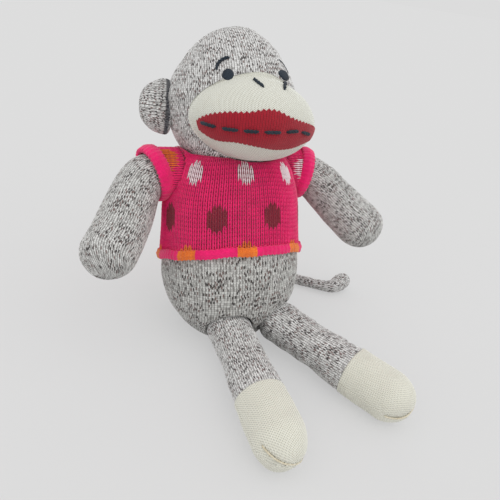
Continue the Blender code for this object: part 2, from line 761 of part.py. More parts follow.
for side, label, spread, roll in ((-1, "right", leg_spread_right, toe_seam_roll_right),
                                  (1, "left", leg_spread_left, toe_seam_roll_left)):
    shoulder = frame_at("shoulder_" + label, (side * shoulder_seat, 0, shoulder_height), (0, 0, 0), torso)
    make_arm("arm_" + label, side, shoulder)
    make_sleeve("sleeve_" + label, side, shoulder)
    armhole = armhole_cutter("armhole_" + label, side, torso)
    cut(body, armhole)
    cut(jumper, armhole)

    hip = leg_frame(side, spread, "hip_" + label)
    leg = make_leg("leg_" + label, hip)
    foot = make_foot("foot_" + label, hip)
    make_toe_seam("toe_seam_" + label, roll, hip)
    cut(leg, floor)
    cut(foot, floor)

    make_eye("eye_" + label, side, head_frame)
    make_brow("eyebrow_" + label, side, head_frame)
    make_nostril("nostril_" + label, side, head_frame)

    ear_place = ear_place_left if side > 0 else ear_place_right
    root = Vector(head_point(side * ear_place, 0, ear_root_lift))
    root[2] += ear_rise
    ear_hinge = frame_at("ear_hinge_" + label, root, (0, 0, -side * ear_facing), head_frame)
    make_ear("ear_" + label, side, ear_hinge)
    cut(head, ear_groove("ear_groove_" + label, ear_hinge))

make_tail("tail", None)
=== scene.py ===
import math

import bpy
import numpy as np
from mathutils import Euler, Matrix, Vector


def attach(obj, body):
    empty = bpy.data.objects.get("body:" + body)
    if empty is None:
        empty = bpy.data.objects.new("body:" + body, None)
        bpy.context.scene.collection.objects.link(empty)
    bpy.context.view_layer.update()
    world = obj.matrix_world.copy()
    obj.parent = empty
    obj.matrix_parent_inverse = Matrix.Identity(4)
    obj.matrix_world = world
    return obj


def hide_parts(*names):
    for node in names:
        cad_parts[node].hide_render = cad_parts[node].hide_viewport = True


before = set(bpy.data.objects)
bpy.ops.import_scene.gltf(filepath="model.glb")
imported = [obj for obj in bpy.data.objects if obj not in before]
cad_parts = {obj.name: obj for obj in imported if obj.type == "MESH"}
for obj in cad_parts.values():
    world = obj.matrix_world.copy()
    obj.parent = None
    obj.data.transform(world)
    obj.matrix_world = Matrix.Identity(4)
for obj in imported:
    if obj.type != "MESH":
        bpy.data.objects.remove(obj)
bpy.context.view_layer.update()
print("frame loaded")

# Camera: where the photograph was taken from

camera = {
    "azimuth": -25.0,            # degrees round the doll, 0 is straight in front
    "elevation": 30.6,
    "roll": 9.2,
    "target": (0.012, 0.0, 0.0912),
    "distance": 0.446,
    "focalLength": 32.72,        # for a sensor 36 mm wide
}


def makeCamera():
    azimuth, elevation, roll = (math.radians(camera[key]) for key in ("azimuth", "elevation", "roll"))
    back = Vector((math.sin(azimuth) * math.cos(elevation), -math.cos(azimuth) * math.cos(elevation),
                   math.sin(elevation)))
    lens = bpy.data.cameras.new("camera")
    lens.sensor_width = 36
    lens.lens = camera["focalLength"]
    lens.clip_start = 0.01
    holder = bpy.data.objects.new("camera", lens)
    bpy.context.collection.objects.link(holder)
    holder.rotation_mode = "QUATERNION"
    level = (-back).to_track_quat("-Z", "Y")
    holder.rotation_quaternion = level @ Euler((0, 0, roll)).to_quaternion()
    holder.location = Vector(camera["target"]) + back * camera["distance"]
    bpy.context.scene.camera = holder


makeCamera()

# The doll's own frames, as in the part

pose = {
    "torsoLean": 16.5,           # degrees
    "neckHeight": 0.166,         # along the trunk
    "headRise": 0.060,
    "headTurns": (1.0, 4.0, 5.0),
}


def turned(x, y, z):
    return np.array(Euler([math.radians(v) for v in (x, y, z)]).to_matrix())


def frameAt(rotation, place, parent=None):
    matrix = np.eye(4)
    matrix[:3, :3] = rotation
    matrix[:3, 3] = place
    return matrix if parent is None else parent @ matrix


def carried(matrix, points):
    return points @ matrix[:3, :3].T + matrix[:3, 3]


def carriedBack(matrix, points):
    return (points - matrix[:3, 3]) @ matrix[:3, :3]


worldFrame = np.eye(4)
torsoFrame = frameAt(turned(-pose["torsoLean"], 0, 0), (0, 0, 0))
neckFrame = frameAt(np.eye(3), (0, 0, pose["neckHeight"]), torsoFrame)
headFrame = frameAt(turned(*pose["headTurns"]), (0, 0, pose["headRise"]), neckFrame)


def follow(shares, where):
    # Smooth curve through (place, value) pairs, read at the places asked for
    places = np.array([row[0] for row in shares], float)
    values = np.array([row[1] for row in shares], float)
    slopes = np.gradient(values, places)
    where = np.clip(where, places[0], places[-1])
    left = np.clip(np.searchsorted(places, where, side="right") - 1, 0, len(places) - 2)
    span = places[left + 1] - places[left]
    t = (where - places[left]) / span
    rise = values[left + 1] - values[left]
    bend = (slopes[left] * span - rise) * (1 - t) - (slopes[left + 1] * span - rise) * t
    return values[left] + rise * t + t * (1 - t) * bend


# Meshes

def unit(vectors):
    return vectors / np.linalg.norm(vectors, axis=-1, keepdims=True)


def lengthsAlong(path):
    # Length from a path's start to each of its points
    return np.concatenate(([0], np.cumsum(np.linalg.norm(np.diff(path, axis=0), axis=1))))


def normalsOf(points, faces):
    # Area-weighted normals at the points: the sum of the cross products of the faces round each
    total = np.zeros_like(points)
    for group in faces:
        if len(group) == 0:
            continue
        corners = [points[group[:, corner]] for corner in range(group.shape[1])]
        if len(corners) == 4:
            cross = np.cross(corners[2] - corners[0], corners[3] - corners[1])
        else:
            cross = np.cross(corners[1] - corners[0], corners[2] - corners[0])
        for corner in range(group.shape[1]):
            for axis in range(3):
                total[:, axis] += np.bincount(group[:, corner], cross[:, axis], len(points))
    return total / np.maximum(np.linalg.norm(total, axis=1), 1e-12)[:, None]


def neighbourMean(points, faces):
    # Mean of the points that share a face edge with each point
    total = np.zeros_like(points)
    count = np.zeros(len(points))
    for group in faces:
        size = group.shape[1]
        for corner in range(size):
            here, after = group[:, corner], group[:, (corner + 1) % size]
            for a, b in ((here, after), (after, here)):
                count += np.bincount(a, minlength=len(points))
                for axis in range(3):
                    total[:, axis] += np.bincount(a, points[b, axis], len(points))
    return total / np.maximum(count, 1)[:, None]


def addPiece(name, points, faces, body, materials, stitches=None, faceMaterials=None, replaces=()):
    # Puts arrays of points, quads and triangles into a smooth mesh object that rides on a body.
    # stitches holds one stitch coordinate pair for each face corner
    mesh = bpy.data.meshes.new(name)
    faces = [group for group in faces if len(group)]
    corners = np.concatenate([group.ravel() for group in faces]).astype(np.int32)
    sizes = np.concatenate([np.full(len(group), group.shape[1]) for group in faces]).astype(np.int32)
    starts = np.concatenate(([0], np.cumsum(sizes)[:-1])).astype(np.int32)
    mesh.vertices.add(len(points))
    mesh.vertices.foreach_set("co", np.ascontiguousarray(points, np.float32).ravel())
    mesh.loops.add(len(corners))
    mesh.loops.foreach_set("vertex_index", corners)
    mesh.polygons.add(len(sizes))
    mesh.polygons.foreach_set("loop_start", starts)
    for material in materials:
        mesh.materials.append(material)
    if faceMaterials is not None:
        mesh.polygons.foreach_set("material_index", np.asarray(faceMaterials, np.int32))
    mesh.update(calc_edges=True)
    if stitches is not None:
        layer = mesh.uv_layers.new(name="stitches")
        layer.uv.foreach_set("vector", np.ascontiguousarray(stitches, np.float32).ravel())
    mesh.shade_smooth()
    thing = bpy.data.objects.new(name, mesh)
    bpy.context.collection.objects.link(thing)
    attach(thing, body)
    if replaces:
        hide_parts(*replaces)
    return thing


def volumeOf(points, faces):
    total = 0.0
    for group in faces:
        for corner in range(1, group.shape[1] - 1):
            a, b, c = (points[group[:, k]] for k in (0, corner, corner + 1))
            total += float(np.sum(np.cross(a, b) * c)) / 6
    return total


def facedOut(points, faces):
    # The same faces, all turned over where the volume inside them comes out negative
    return [group[:, ::-1] for group in faces] if volumeOf(points, faces) < 0 else faces


def gridQuads(numbers):
    # Quads over a grid of point numbers
    return np.stack((numbers[:-1, :-1], numbers[:-1, 1:], numbers[1:, 1:], numbers[1:, :-1]), axis=-1).reshape(-1, 4)


def cappedRounds(points, sides):
    # Faces over rounds of points one after another, where the last two points close the ends
    count = len(points) - 2
    number = np.arange(count).reshape(-1, sides)
    after = np.roll(number, -1, axis=1)
    ends = (np.stack((0 * number[0] + count, after[0], number[0]), axis=-1),
            np.stack((0 * number[-1] + count + 1, number[-1], after[-1]), axis=-1))
    return facedOut(points, [gridQuads(np.column_stack((number, number[:, 0]))), np.vstack(ends)])


# Knitting: every skin is a grid that follows its own stitches

knitting = {
    "columns": 4,                # grid columns to a wale: valley, leg, middle, leg
    "columnHeights": (-1.0, 0.55, -0.1, 0.55),
    "rows": 2,                   # grid rows to a course
    "rowHeights": (-0.3, 0.3),
    "slant": 0.5,                # how far a stitch's legs climb, in courses
    "seamMargin": 0.08,          # a wale narrower than this ends in the seam
    "seamDepth": -1.6,           # how low the seam lies, in reliefs
}


def zigzagOf(wales):
    # How far the grid's rows climb along the stitches' legs, in courses
    return (abs(wales % 1 - 0.5) * 2 - 0.5) * knitting["slant"]


def reliefOf(columnNumbers, rowNumbers):
    # How high the grid's points stand, in reliefs: valleys between the wales, legs and gaps
    across = np.array(knitting["columnHeights"])[columnNumbers % knitting["columns"]]
    along = np.array(knitting["rowHeights"])[rowNumbers % knitting["rows"]]
    return across[None, :] + along[:, None]


def splitFaces(corners, stitches):
    # From a grid where some corners are the same point: good quads, and triangles where two corners meet
    same = corners == np.roll(corners, -1, axis=1)
    crossed = (corners[:, 0] == corners[:, 2]) | (corners[:, 1] == corners[:, 3])
    count = same.sum(axis=1)
    quads = (count == 0) & ~crossed
    triangles, triangleStitches = [], []
    for corner in range(4):
        pick = (count == 1) & same[:, corner] & ~crossed
        keep = [k for k in range(4) if k != corner]
        triangles.append(corners[pick][:, keep])
        triangleStitches.append(stitches[pick][:, keep])
    allStitches = [stitches[quads].reshape(-1, 2), np.concatenate(triangleStitches).reshape(-1, 2)]
    return [corners[quads], np.concatenate(triangles)], np.concatenate(allStitches)


def knitSkin(surface, wale, course, centres=(0.0, math.pi), samples=240, ringSides=36):
    # A closed skin over surface(turn, share), share 0 at one pole and 1 at the other.
    # Each panel's wales run straight from pole to pole: turn = centre + span * u / wales in that round,
    # where u counts wales from the panel's middle, so they end in the seams as the piece narrows.
    # Rows stand a course apart along the surface, and each is a zigzag of the stitches' legs
    shares = (1 - np.cos(np.linspace(0, math.pi, samples))) / 2
    ringTurns = np.arange(ringSides) * math.tau / ringSides
    rings = surface(np.tile(ringTurns, samples), np.repeat(shares, ringSides)).reshape(samples, ringSides, 3)
    around = np.linalg.norm(np.roll(rings, -1, axis=1) - rings, axis=2).sum(axis=1)
    along = np.linalg.norm(np.diff(rings, axis=0), axis=2).mean(axis=1)
    length = np.concatenate(([0], np.cumsum(along)))
    panels = len(centres)
    waleTable = around / panels / wale
    columns, rows = knitting["columns"], knitting["rows"]
    courses = max(3, int(round(length[-1] / course)))
    rowCount = courses * rows + 1
    half = int(math.ceil(waleTable.max() / 2 * columns))
    columnNumbers, rowNumbers = np.arange(-half, half + 1), np.arange(rowCount)
    u, v = columnNumbers / columns, rowNumbers / rows
    poleGap = 0.02
    vGrid = np.clip(v[:, None] + zigzagOf(u)[None, :], poleGap, courses - poleGap)
    shareAt = lambda place: np.interp(place / courses * length[-1], length, shares)
    walesAt = lambda place: np.interp(shareAt(place), shares, waleTable)
    limit = walesAt(vGrid) / 2 - knitting["seamMargin"]
    own = abs(u)[None, :] < limit
    own[0] = own[-1] = False
    seamLimit = walesAt(v) / 2
    # Points: two poles, one seam point for each panel and row, then the panels' own
    seamRows = rowCount - 2
    seamIndex = 2 + np.arange(panels)[:, None] * seamRows + np.arange(seamRows)[None, :]
    seamIndex = np.column_stack((np.zeros(panels, np.int64), seamIndex, np.ones(panels, np.int64)))
    start = 2 + panels * seamRows
    span = math.tau / panels
    turnsOut, sharesOut, heights, seamTurns, index = [], [], [], [], []
    relief = reliefOf(columnNumbers, rowNumbers)
    for panel, centre in enumerate(centres):
        count = int(own.sum())
        numbers = np.zeros(own.shape, np.int64)
        numbers[own] = start + np.arange(count)
        left = np.broadcast_to(seamIndex[panel][:, None], own.shape)
        right = np.broadcast_to(seamIndex[(panel + 1) % panels][:, None], own.shape)
        index.append(np.where(own, numbers, np.where((u < 0)[None, :], left, right)))
        start += count
        turnsOut.append((centre + span * u[None, :] / walesAt(vGrid))[own])
        sharesOut.append(shareAt(vGrid)[own])
        heights.append(relief[own])
        seamTurns.append(np.full(seamRows, centre - span / 2))
    turnAll = np.concatenate([np.zeros(2)] + seamTurns + turnsOut)
    shareAll = np.concatenate([np.array((0.0, 1.0))] + [shareAt(v[1:-1])] * panels + sharesOut)
    heightAll = np.concatenate([np.zeros(2), np.full(panels * seamRows, knitting["seamDepth"])] + heights)
    points = surface(turnAll, shareAll)
    uClipped = np.clip(np.broadcast_to(u[None, :], own.shape), -seamLimit[:, None], seamLimit[:, None])
    vStored = np.where(own, vGrid, v[:, None])
    cornersOut, stitchesOut = [], []
    panelApart = 500             # wales between the panels' stitch places, so that their flecks differ
    for panel, grid in enumerate(index):
        uv = np.stack((uClipped + panelApart * panel, vStored), axis=-1)
        stitch = np.stack((uv[:-1, :-1], uv[:-1, 1:], uv[1:, 1:], uv[1:, :-1]), axis=2).reshape(-1, 4, 2)
        cornersOut.append(gridQuads(grid))
        stitchesOut.append(stitch)
    faces, stitches = splitFaces(np.concatenate(cornersOut), np.concatenate(stitchesOut))
    if volumeOf(points, faces) < 0:
        faces = [group[:, ::-1] for group in faces]
        first = stitches[:faces[0].size].reshape(-1, 4, 2)[:, ::-1].reshape(-1, 2)
        second = stitches[faces[0].size:].reshape(-1, 3, 2)[:, ::-1].reshape(-1, 2)
        stitches = np.concatenate((first, second))
    courseAt = lambda share: float(np.interp(share, shares, length) / length[-1] * courses)
    return {"points": points, "faces": faces, "stitches": stitches, "heights": heightAll, "courseAt": courseAt}


def lumps(points, size, seed):
    # Soft unevenness of the filling: a sum of sine waves in random directions, from -1 to 1
    random = np.random.default_rng(seed)
    count = 7
    waves = unit(random.normal(size=(count, 3)))
    waves *= (math.tau / size) * random.uniform(0.6, 1.4, count)[:, None]
    return np.sin(points @ waves.T + random.uniform(0, math.tau, count)).sum(axis=1) / (count / 2)


def raised(skin, piece, seed):
    # Moves a skin's points out along their normals by its stitches' relief and the filling's lumps
    points = skin["points"]
    lift = skin["heights"] * piece["relief"] + lumps(points, piece["lumpSize"], seed) * piece["lumpHeight"]
    skin["points"] = points + normalsOf(points, skin["faces"]) * lift[:, None]
    return skin


def addStuffed(name, skin, body, wool, node):
    # A padded skin that takes its solid's place
    piece = addPiece(name, skin["points"], skin["faces"], body, [wool], skin["stitches"], replaces=(node,))


def yarn(path, normals, radius, height, twist, sides=12):
    # A twisted two-ply thread laid on a surface: its middle runs height radii above the path, its ends
    # dive under it, and each round is two-lobed, turned further on from round to round
    run = lengthsAlong(path)
    ends = np.sqrt(np.clip(np.minimum(run, run[-1] - run) / (1.3 * radius), 0, 1))
    middle = path + normals * (radius * (height + 1.5 * (ends - 1)))[:, None]
    heading = unit(np.gradient(middle, axis=0))
    up = unit(normals - heading * np.sum(normals * heading, axis=1)[:, None])
    aside = np.cross(heading, up)
    angle = np.arange(sides) * math.tau / sides
    lobes = 0.86 + 0.14 * np.cos(2 * (angle[None, :] - lengthsAlong(middle)[:, None] / twist * math.pi))
    reach = radius * lobes * np.maximum(ends, 0.25)[:, None]
    rings = (middle[:, None] + reach[..., None] * (np.cos(angle)[None, :, None] * up[:, None]
                                                   + np.sin(angle)[None, :, None] * aside[:, None]))
    points = np.vstack((rings.reshape(-1, 3), middle[:1] - heading[:1] * radius * 0.3,
                        middle[-1:] + heading[-1:] * radius * 0.3))
    return points, cappedRounds(points, sides)


def closedPatch(outer, inner):
    # Quads that close two matching grids of points into one thin body: front, back and the edge between
    rows, columns = outer.shape[:2]
    front = np.arange(rows * columns).reshape(rows, columns)
    back = front + rows * columns
    quads = [gridQuads(front), np.roll(gridQuads(back)[:, ::-1], 1, axis=1)]
    rim = np.concatenate((front[0, :-1], front[:-1, -1], front[-1, :0:-1], front[:0:-1, 0]))
    onward = np.roll(rim, -1)
    quads.append(np.stack((onward, rim, rim + rows * columns, onward + rows * columns), axis=-1))
    return np.vstack((outer.reshape(-1, 3), inner.reshape(-1, 3))), np.vstack(quads)


# Materials

class Signal:
    # A value in a material's nodes: its sums, products and powers are math nodes
    def __init__(self, material, socket):
        self.material, self.socket = material, socket

    def __add__(self, other):
        return calc("ADD", self, other)

    def __sub__(self, other):
        return calc("SUBTRACT", self, other)

    def __rsub__(self, other):
        return calc("SUBTRACT", other, self)

    def __mul__(self, other):
        return calc("MULTIPLY", self, other)

    def __pow__(self, other):
        return calc("POWER", self, other)


def newMaterial(name, sheen=0.25):
    material = bpy.data.materials.new(name)
    material.use_nodes = True
    shader = material.node_tree.nodes["Principled BSDF"]
    for socket, value in (("Roughness", 0.95), ("Sheen Weight", sheen), ("Sheen Roughness", 0.6),
                          ("Specular IOR Level", 0.15)):
        shader.inputs[socket].default_value = value
    return material


def addNode(material, kind, inputs=(), output=0, **settings):
    # A node with its settings, its inputs given as (socket, value or signal) pairs, and the output wanted
    tree = material.node_tree
    node = tree.nodes.new(kind)
    for key, value in settings.items():
        setattr(node, key, value)
    for socket, value in inputs:
        if isinstance(value, Signal):
            tree.links.new(value.socket, node.inputs[socket])
        else:
            node.inputs[socket].default_value = value
    return Signal(material, node.outputs[output])


def materialOf(values):
    return next(value.material for value in values if isinstance(value, Signal))


def calc(operation, *values):
    return addNode(materialOf(values), "ShaderNodeMath", enumerate(values), operation=operation)


def ramp(signal, low, high):
    # From 0 at low to 1 at high, eased
    return addNode(signal.material, "ShaderNodeMapRange", [("Value", signal), ("From Min", low), ("From Max", high)],
                   output="Result", interpolation_type="SMOOTHSTEP")


def mixColours(share, first, second, blend="MIX"):
    colours = [(slot, value if isinstance(value, Signal) else (*value, 1)) for slot, value in ((6, first), (7, second))]
    return addNode(materialOf((share, first, second)), "ShaderNodeMix", [(0, share)] + colours, output=2,
                   data_type="RGBA", blend_type=blend, clamp_factor=True)


def chanceAt(across, along):
    # A random number from 0 to 1 for each pair of whole numbers
    place = addNode(across.material, "ShaderNodeCombineXYZ", [(0, across), (1, along)])
    return addNode(across.material, "ShaderNodeTexWhiteNoise", [("Vector", place)], noise_dimensions="2D")


def noiseIn(material, scale, detail):
    # Smooth noise fixed to the object
    here = addNode(material, "ShaderNodeTexCoord", output="Object")
    return addNode(material, "ShaderNodeTexNoise", [("Vector", here), ("Scale", scale), ("Detail", detail)])


def painted(material, colour, height, strength, distance):
    # The material with its colour, and bumps by height
    bump = addNode(material, "ShaderNodeBump", [("Strength", strength), ("Distance", distance), ("Height", height)])
    shader = material.node_tree.nodes["Principled BSDF"]
    for signal, socket in ((colour, "Base Color"), (bump, "Normal")):
        material.node_tree.links.new(signal.socket, shader.inputs[socket])
    return material


def colourOf(red, green, blue):
    # A colour as seen on screen, 0 to 255, as the light that it stands for
    return tuple((value / 255 / 12.92) if value < 10.3 else ((value / 255 + 0.055) / 1.055) ** 2.4
                 for value in (red, green, blue))


def stitchPlaces(material):
    # Where a point lies in its stitch: wale and course numbers, and places within the leg from 0 to 1
    layer = addNode(material, "ShaderNodeUVMap", uv_map="stitches")
    u, v = (addNode(material, "ShaderNodeSeparateXYZ", [(0, layer)], output=axis) for axis in (0, 1))
    side = calc("ABSOLUTE", calc("FRACT", u) - 0.5) * 2.0
    place = v - (side - 0.5) * knitting["slant"]
    twice = u * 2.0
    return {"u": u, "v": v, "side": side, "place": place,
            "leg": calc("FLOOR", twice), "course": calc("FLOOR", place),
            "acrossLeg": calc("FRACT", twice), "alongLeg": calc("FRACT", place)}


fleck = {
    "pale": colourOf(250, 250, 249), "grey": colourOf(166, 164, 162), "greyness": 1.5,
    "dark": colourOf(44, 36, 36), "brown": colourOf(142, 116, 112), "strength": 0.92,
    # The gap colours are painted shade between the yarns, darker where dark flecks crowd; the crease colour is painted
    # shade along a seam
    "gap": colourOf(92, 88, 87), "darkShadedGap": colourOf(58, 50, 50), "crease": colourOf(52, 54, 62),
    "stitch": 0.85,              # flecks to a course
    "runs": (0.13, 0.83),        # how fast the crowds of flecks change with the wales and along them
    "crowd": (0.46, 0.62),       # noise where the crowds start and are full
    "few": 0.06, "many": 0.80,   # share of dark legs outside a crowd, and added in it
    "blotchScale": 50.0, "blotchShare": 0.2,
    "line": (0.6, 1.0),          # where the line of painted shade between the wales starts and is full
    "cleft": (0.0, 0.3), "cleftShade": 0.3,       # painted shade in the gap in a stitch's middle, and how dark it is
    "joint": 0.45,               # how dark the painted shade in the gap between one stitch and the next is
}


def marlKnit(name, crease=None, tone=0.93, lined=1.0):
    # Grey rag wool: pale and grey legs with painted shade in the gaps and a line of it between the wales,
    # and runs along the courses where single legs are near black or pinkish brown. Crease is a course,
    # how many courses it takes each way, and how dark the painted shade is there, where a seam lies in shadow
    material = newMaterial(name)
    places = stitchPlaces(material)
    leg, side = places["leg"], places["side"]
    random = chanceAt(leg, places["course"])
    legRandom = addNode(material, "ShaderNodeTexWhiteNoise", [("W", leg)], noise_dimensions="1D")
    stretch = calc("FLOOR", places["place"] * fleck["stitch"] + legRandom)
    chance = chanceAt(leg, stretch)
    runPlace = addNode(material, "ShaderNodeCombineXYZ", [(0, places["u"] * fleck["runs"][0]),
                                                          (1, stretch * fleck["runs"][1])])
    run = addNode(material, "ShaderNodeTexNoise", [("Vector", runPlace), ("Scale", 1.0), ("Detail", 1.5)],
                  noise_dimensions="2D")
    blotch = noiseIn(material, fleck["blotchScale"], 2.0)
    crowd = ramp(run * (1 - fleck["blotchShare"]) + blotch * fleck["blotchShare"], *fleck["crowd"])
    turnAbout = calc("FRACT", (leg + stretch) * 0.5)
    dark = calc("LESS_THAN", chance, crowd * fleck["many"] + fleck["few"]) * calc("GREATER_THAN", turnAbout, 0.25)
    tint = calc("FRACT", chance * 37.0)
    fleckColour = mixColours(ramp(tint, 0.4, 0.9), fleck["dark"], fleck["brown"])
    pale = mixColours(random ** fleck["greyness"], fleck["pale"], fleck["grey"])
    yarnColour = mixColours(dark * fleck["strength"], pale, fleckColour)
    # Painted shade: a line between the wales, the cleft in a stitch's middle and the joint between one stitch and the
    # next; the same mask lowers the bump
    line = ramp(side, *fleck["line"]) * lined
    cleft = (1.0 - ramp(side, *fleck["cleft"])) * fleck["cleftShade"]
    joint = (1.0 - calc("SINE", places["alongLeg"] * math.pi) ** 0.4) * fleck["joint"]
    gap = calc("MINIMUM", calc("MAXIMUM", line, cleft) + joint, 1.0)
    colour = mixColours(gap, yarnColour, mixColours(crowd * 0.5, fleck["gap"], fleck["darkShadedGap"]))
    # Tone darkens the whole knit; on the trunk it is painted shade
    if tone < 1:
        colour = mixColours(1.0, colour, (tone, tone, tone * (0.9 + 0.1 * tone)), "MULTIPLY")
    # Painted shade: a dark bluish band along the crease's course, where a seam lies in shadow
    if crease:
        middle, reach, depth = crease
        near = 1.0 - ramp(calc("ABSOLUTE", places["v"] - middle), reach * 0.35, reach)
        colour = mixColours(near * depth, colour, fleck["crease"])
    return painted(material, colour, 1.0 - gap, 0.5, 0.0004)


def plainKnit(name, yarn, gapColour, uneven, hole=0.0, line=0.0):
    # One colour of knit: with painted shade in the gaps between the legs and in the small hole under each stitch,
    # and a little uneven from stitch to stitch. A leg's shape is a sine across it by a rooted sine along it
    material = newMaterial(name)
    places = stitchPlaces(material)
    side = places["side"]
    across, along = (calc("SINE", places[key] * math.pi) for key in ("acrossLeg", "alongLeg"))
    shape = across * along ** 0.5
    varied = mixColours(chanceAt(places["leg"], places["course"]) * 0.5, yarn, uneven)
    colour = mixColours(ramp(shape, 0.0, 0.5), gapColour, varied)
    # Painted shade in a line between the wales
    if line:
        colour = mixColours(ramp(side, 0.6, 1.0) * line, colour, tuple(value * 0.35 for value in gapColour))
    # Painted shade in the small hole under each stitch
    if hole:
        half = calc("GREATER_THAN", side, 0.5) * 0.5
        low = calc("FRACT", places["v"] + 0.25 + half)
        high = calc("ABSOLUTE", low - 0.5) * 2.6
        near = calc("MINIMUM", side, 1.0 - side)
        away = (near * 2.4) ** 2.0 + high ** 2.0
        colour = mixColours((1.0 - ramp(away, 0.2, 1.0)) * hole, colour, tuple(value * 0.42 for value in gapColour))
    return painted(material, colour, shape, 0.4, 0.0004)


def woolYarn(name, colour, deep, sheen=0.25):
    # Spun yarn seen close: fine uneven fibres, a little deeper in places
    material = newMaterial(name, sheen)
    fibre = noiseIn(material, 900.0, 3.0)
    share = fibre * 0.7 + noiseIn(material, 90.0, 1.0) * 0.5
    return painted(material, mixColours(ramp(share, 0.35, 0.85), deep, colour), fibre, 0.35, 0.0002)


marl = marlKnit("marl knit")
# The trunk's knit is darker all over: painted shade, as the belly lies under the jumper and faces down
marlInShade = marlKnit("marl knit of the trunk in painted shade", tone=0.71, lined=0.8)
marlArm = marlKnit("marl knit of the arms", tone=0.82)
creamWool = plainKnit("cream knit", colourOf(233, 235, 226), colourOf(204, 200, 184), colourOf(225, 225, 213),
                      hole=0.8)
creamSoft = plainKnit("cream knit of the feet", colourOf(236, 236, 225), colourOf(212, 208, 190),
                      colourOf(227, 226, 212), hole=0.72)
redWool = plainKnit("red knit", colourOf(176, 18, 40), colourOf(112, 12, 28), colourOf(146, 16, 38), line=0.7)
pinkYarn = woolYarn("pink yarn", colourOf(244, 24, 112), colourOf(212, 14, 92))
# A darker pink for the cloth under the jumper's stitches: painted shade in the gaps between them
pinkShadeCloth = woolYarn("pink yarn in the gaps", colourOf(140, 12, 56), colourOf(106, 10, 42))
maroonYarn = woolYarn("dark red yarn", colourOf(146, 30, 52), colourOf(120, 22, 42))
whiteYarn = woolYarn("white yarn", colourOf(252, 240, 242), colourOf(238, 216, 222))
orangeYarn = woolYarn("orange yarn", colourOf(240, 128, 40), colourOf(208, 92, 30))
# The seam's yarn is cream tinted a little tan: the tint is painted shade of the groove along the seam
tanYarn = woolYarn("seam yarn with painted groove shade", colourOf(228, 222, 204), colourOf(196, 184, 156))
darkYarn = woolYarn("dark embroidery yarn", colourOf(50, 60, 70), colourOf(28, 34, 42), sheen=0.1)
print("materials made")

# Trunk

trunk = {
    "low": -0.012, "high": 0.185,
    "halfWidth": 0.0680, "halfDepth": 0.062,
    "widthShares": ((0, 0.80), (0.3, 1.0), (0.6, 0.97), (0.85, 0.92), (1, 0.86)),
    "depthShares": ((0, 0.90), (0.3, 1.0), (0.6, 0.9), (0.85, 0.8), (1, 0.7)),
    "roundness": 2.3, "seatRoundness": 3.6, "shoulderRoundness": 5.0,
    "wale": 0.0027, "course": 0.0023,
    "relief": 0.00028, "lumpHeight": 0.0006, "lumpSize": 0.035,
    "headGap": 0.0022,
    "smoothing": 24,             # rounds that ease the belly round the legs
}


def trunkPoint(turn, share, lift=0.0, shoulders=None, widths=None):
    # A sack: each level is a rounded oblong, narrowed towards both ends as a superellipse
    across = 2 * share - 1
    power = np.where(across > 0, shoulders or trunk["shoulderRoundness"], trunk["seatRoundness"])
    ends = np.sqrt(np.maximum(1 - abs(across) ** power, 0))
    wide = (trunk["halfWidth"] + lift) * follow(widths or trunk["widthShares"], share) * ends
    deep = (trunk["halfDepth"] + lift) * follow(trunk["depthShares"], share) * ends
    sine, cosine = np.sin(turn), -np.cos(turn)
    reach = (abs(sine) ** trunk["roundness"] + abs(cosine) ** trunk["roundness"]) ** (-1 / trunk["roundness"])
    middle = (trunk["low"] + trunk["high"]) / 2
    tall = (trunk["high"] - trunk["low"]) / 2 + lift
    return np.stack((wide * sine * reach, deep * cosine * reach, middle + tall * across + 0 * turn), axis=-1)


head = {
    "halfWidth": 0.0620, "halfDepth": 0.0570, "up": 0.0645, "down": 0.062,
    "crownNarrowing": 0.17, "jawFullness": 0.72,
    "wale": 0.00215, "course": 0.0018,
    "relief": 0.00022, "lumpHeight": 0.0005, "lumpSize": 0.03, "seed": 5,
}


def headPoint(turn, rise, lift=0.0):
    # An egg: longitude turn, latitude rise, narrowed at the crown and kept full at the jaw
    upper = rise > 0
    tall = np.where(upper, head["up"], head["down"]) + lift
    level = np.cos(rise) ** np.where(upper, 1.0, head["jawFullness"])
    level = level * (1 - head["crownNarrowing"] * np.maximum(0, np.sin(rise)))
    return np.stack(((head["halfWidth"] + lift) * level * np.sin(turn),
                     -(head["halfDepth"] + lift) * level * np.cos(turn),
                     tall * np.sin(rise) + 0 * turn), axis=-1)


muzzle = {
    "halfWidth": 0.0575, "halfDepth": 0.048, "up": 0.0384, "down": 0.0360, "peak": 1.3,
    "forward": 0.036, "drop": 0.0145, "shift": 0.004,
    "wale": 0.0021, "course": 0.0017,
    "relief": 0.0002, "lumpHeight": 0.0003, "lumpSize": 0.03, "seed": 9,
    "faceGap": 0.0004,
}


def muzzlePoint(turn, rise, lift=0.0):
    # A wide egg in front of the head's middle, pointed at the top and round at the bottom
    upper = rise > 0
    tall = np.where(upper, muzzle["up"], muzzle["down"]) + lift
    level = np.maximum(np.cos(rise), 0) ** np.where(upper, muzzle["peak"], 1.0)
    return np.stack((muzzle["shift"] + (muzzle["halfWidth"] + lift) * level * np.sin(turn),
                     -muzzle["forward"] - (muzzle["halfDepth"] + lift) * level * np.cos(turn),
                     -muzzle["drop"] + tall * np.sin(rise) + 0 * turn), axis=-1)


def riseOf(share):
    return (share - 0.5) * math.pi


def outOfHead(points, clearance):
    # Points inside the head's egg, in the head's own frame, move straight out to its surface and clearance
    half = np.array((head["halfWidth"], head["halfDepth"], 1.0)) + clearance
    tall = np.where(points[:, 2] > 0, head["up"], head["down"]) + clearance
    sine = np.clip(points[:, 2] / tall, -1, 1)
    level = np.sqrt(1 - sine ** 2)
    level = np.where(points[:, 2] > 0, level * (1 - head["crownNarrowing"] * sine), level ** head["jawFullness"])
    across = np.sqrt((points[:, 0] / half[0]) ** 2 + (points[:, 1] / half[1]) ** 2)
    reach = np.sqrt(across ** 2 / np.maximum(level, 1e-6) ** 2 * np.maximum(1 - sine ** 2, 1e-9) + sine ** 2)
    grow = np.where(reach < 1, 1 / np.maximum(reach, 0.05), 1.0)
    return points * grow[:, None]


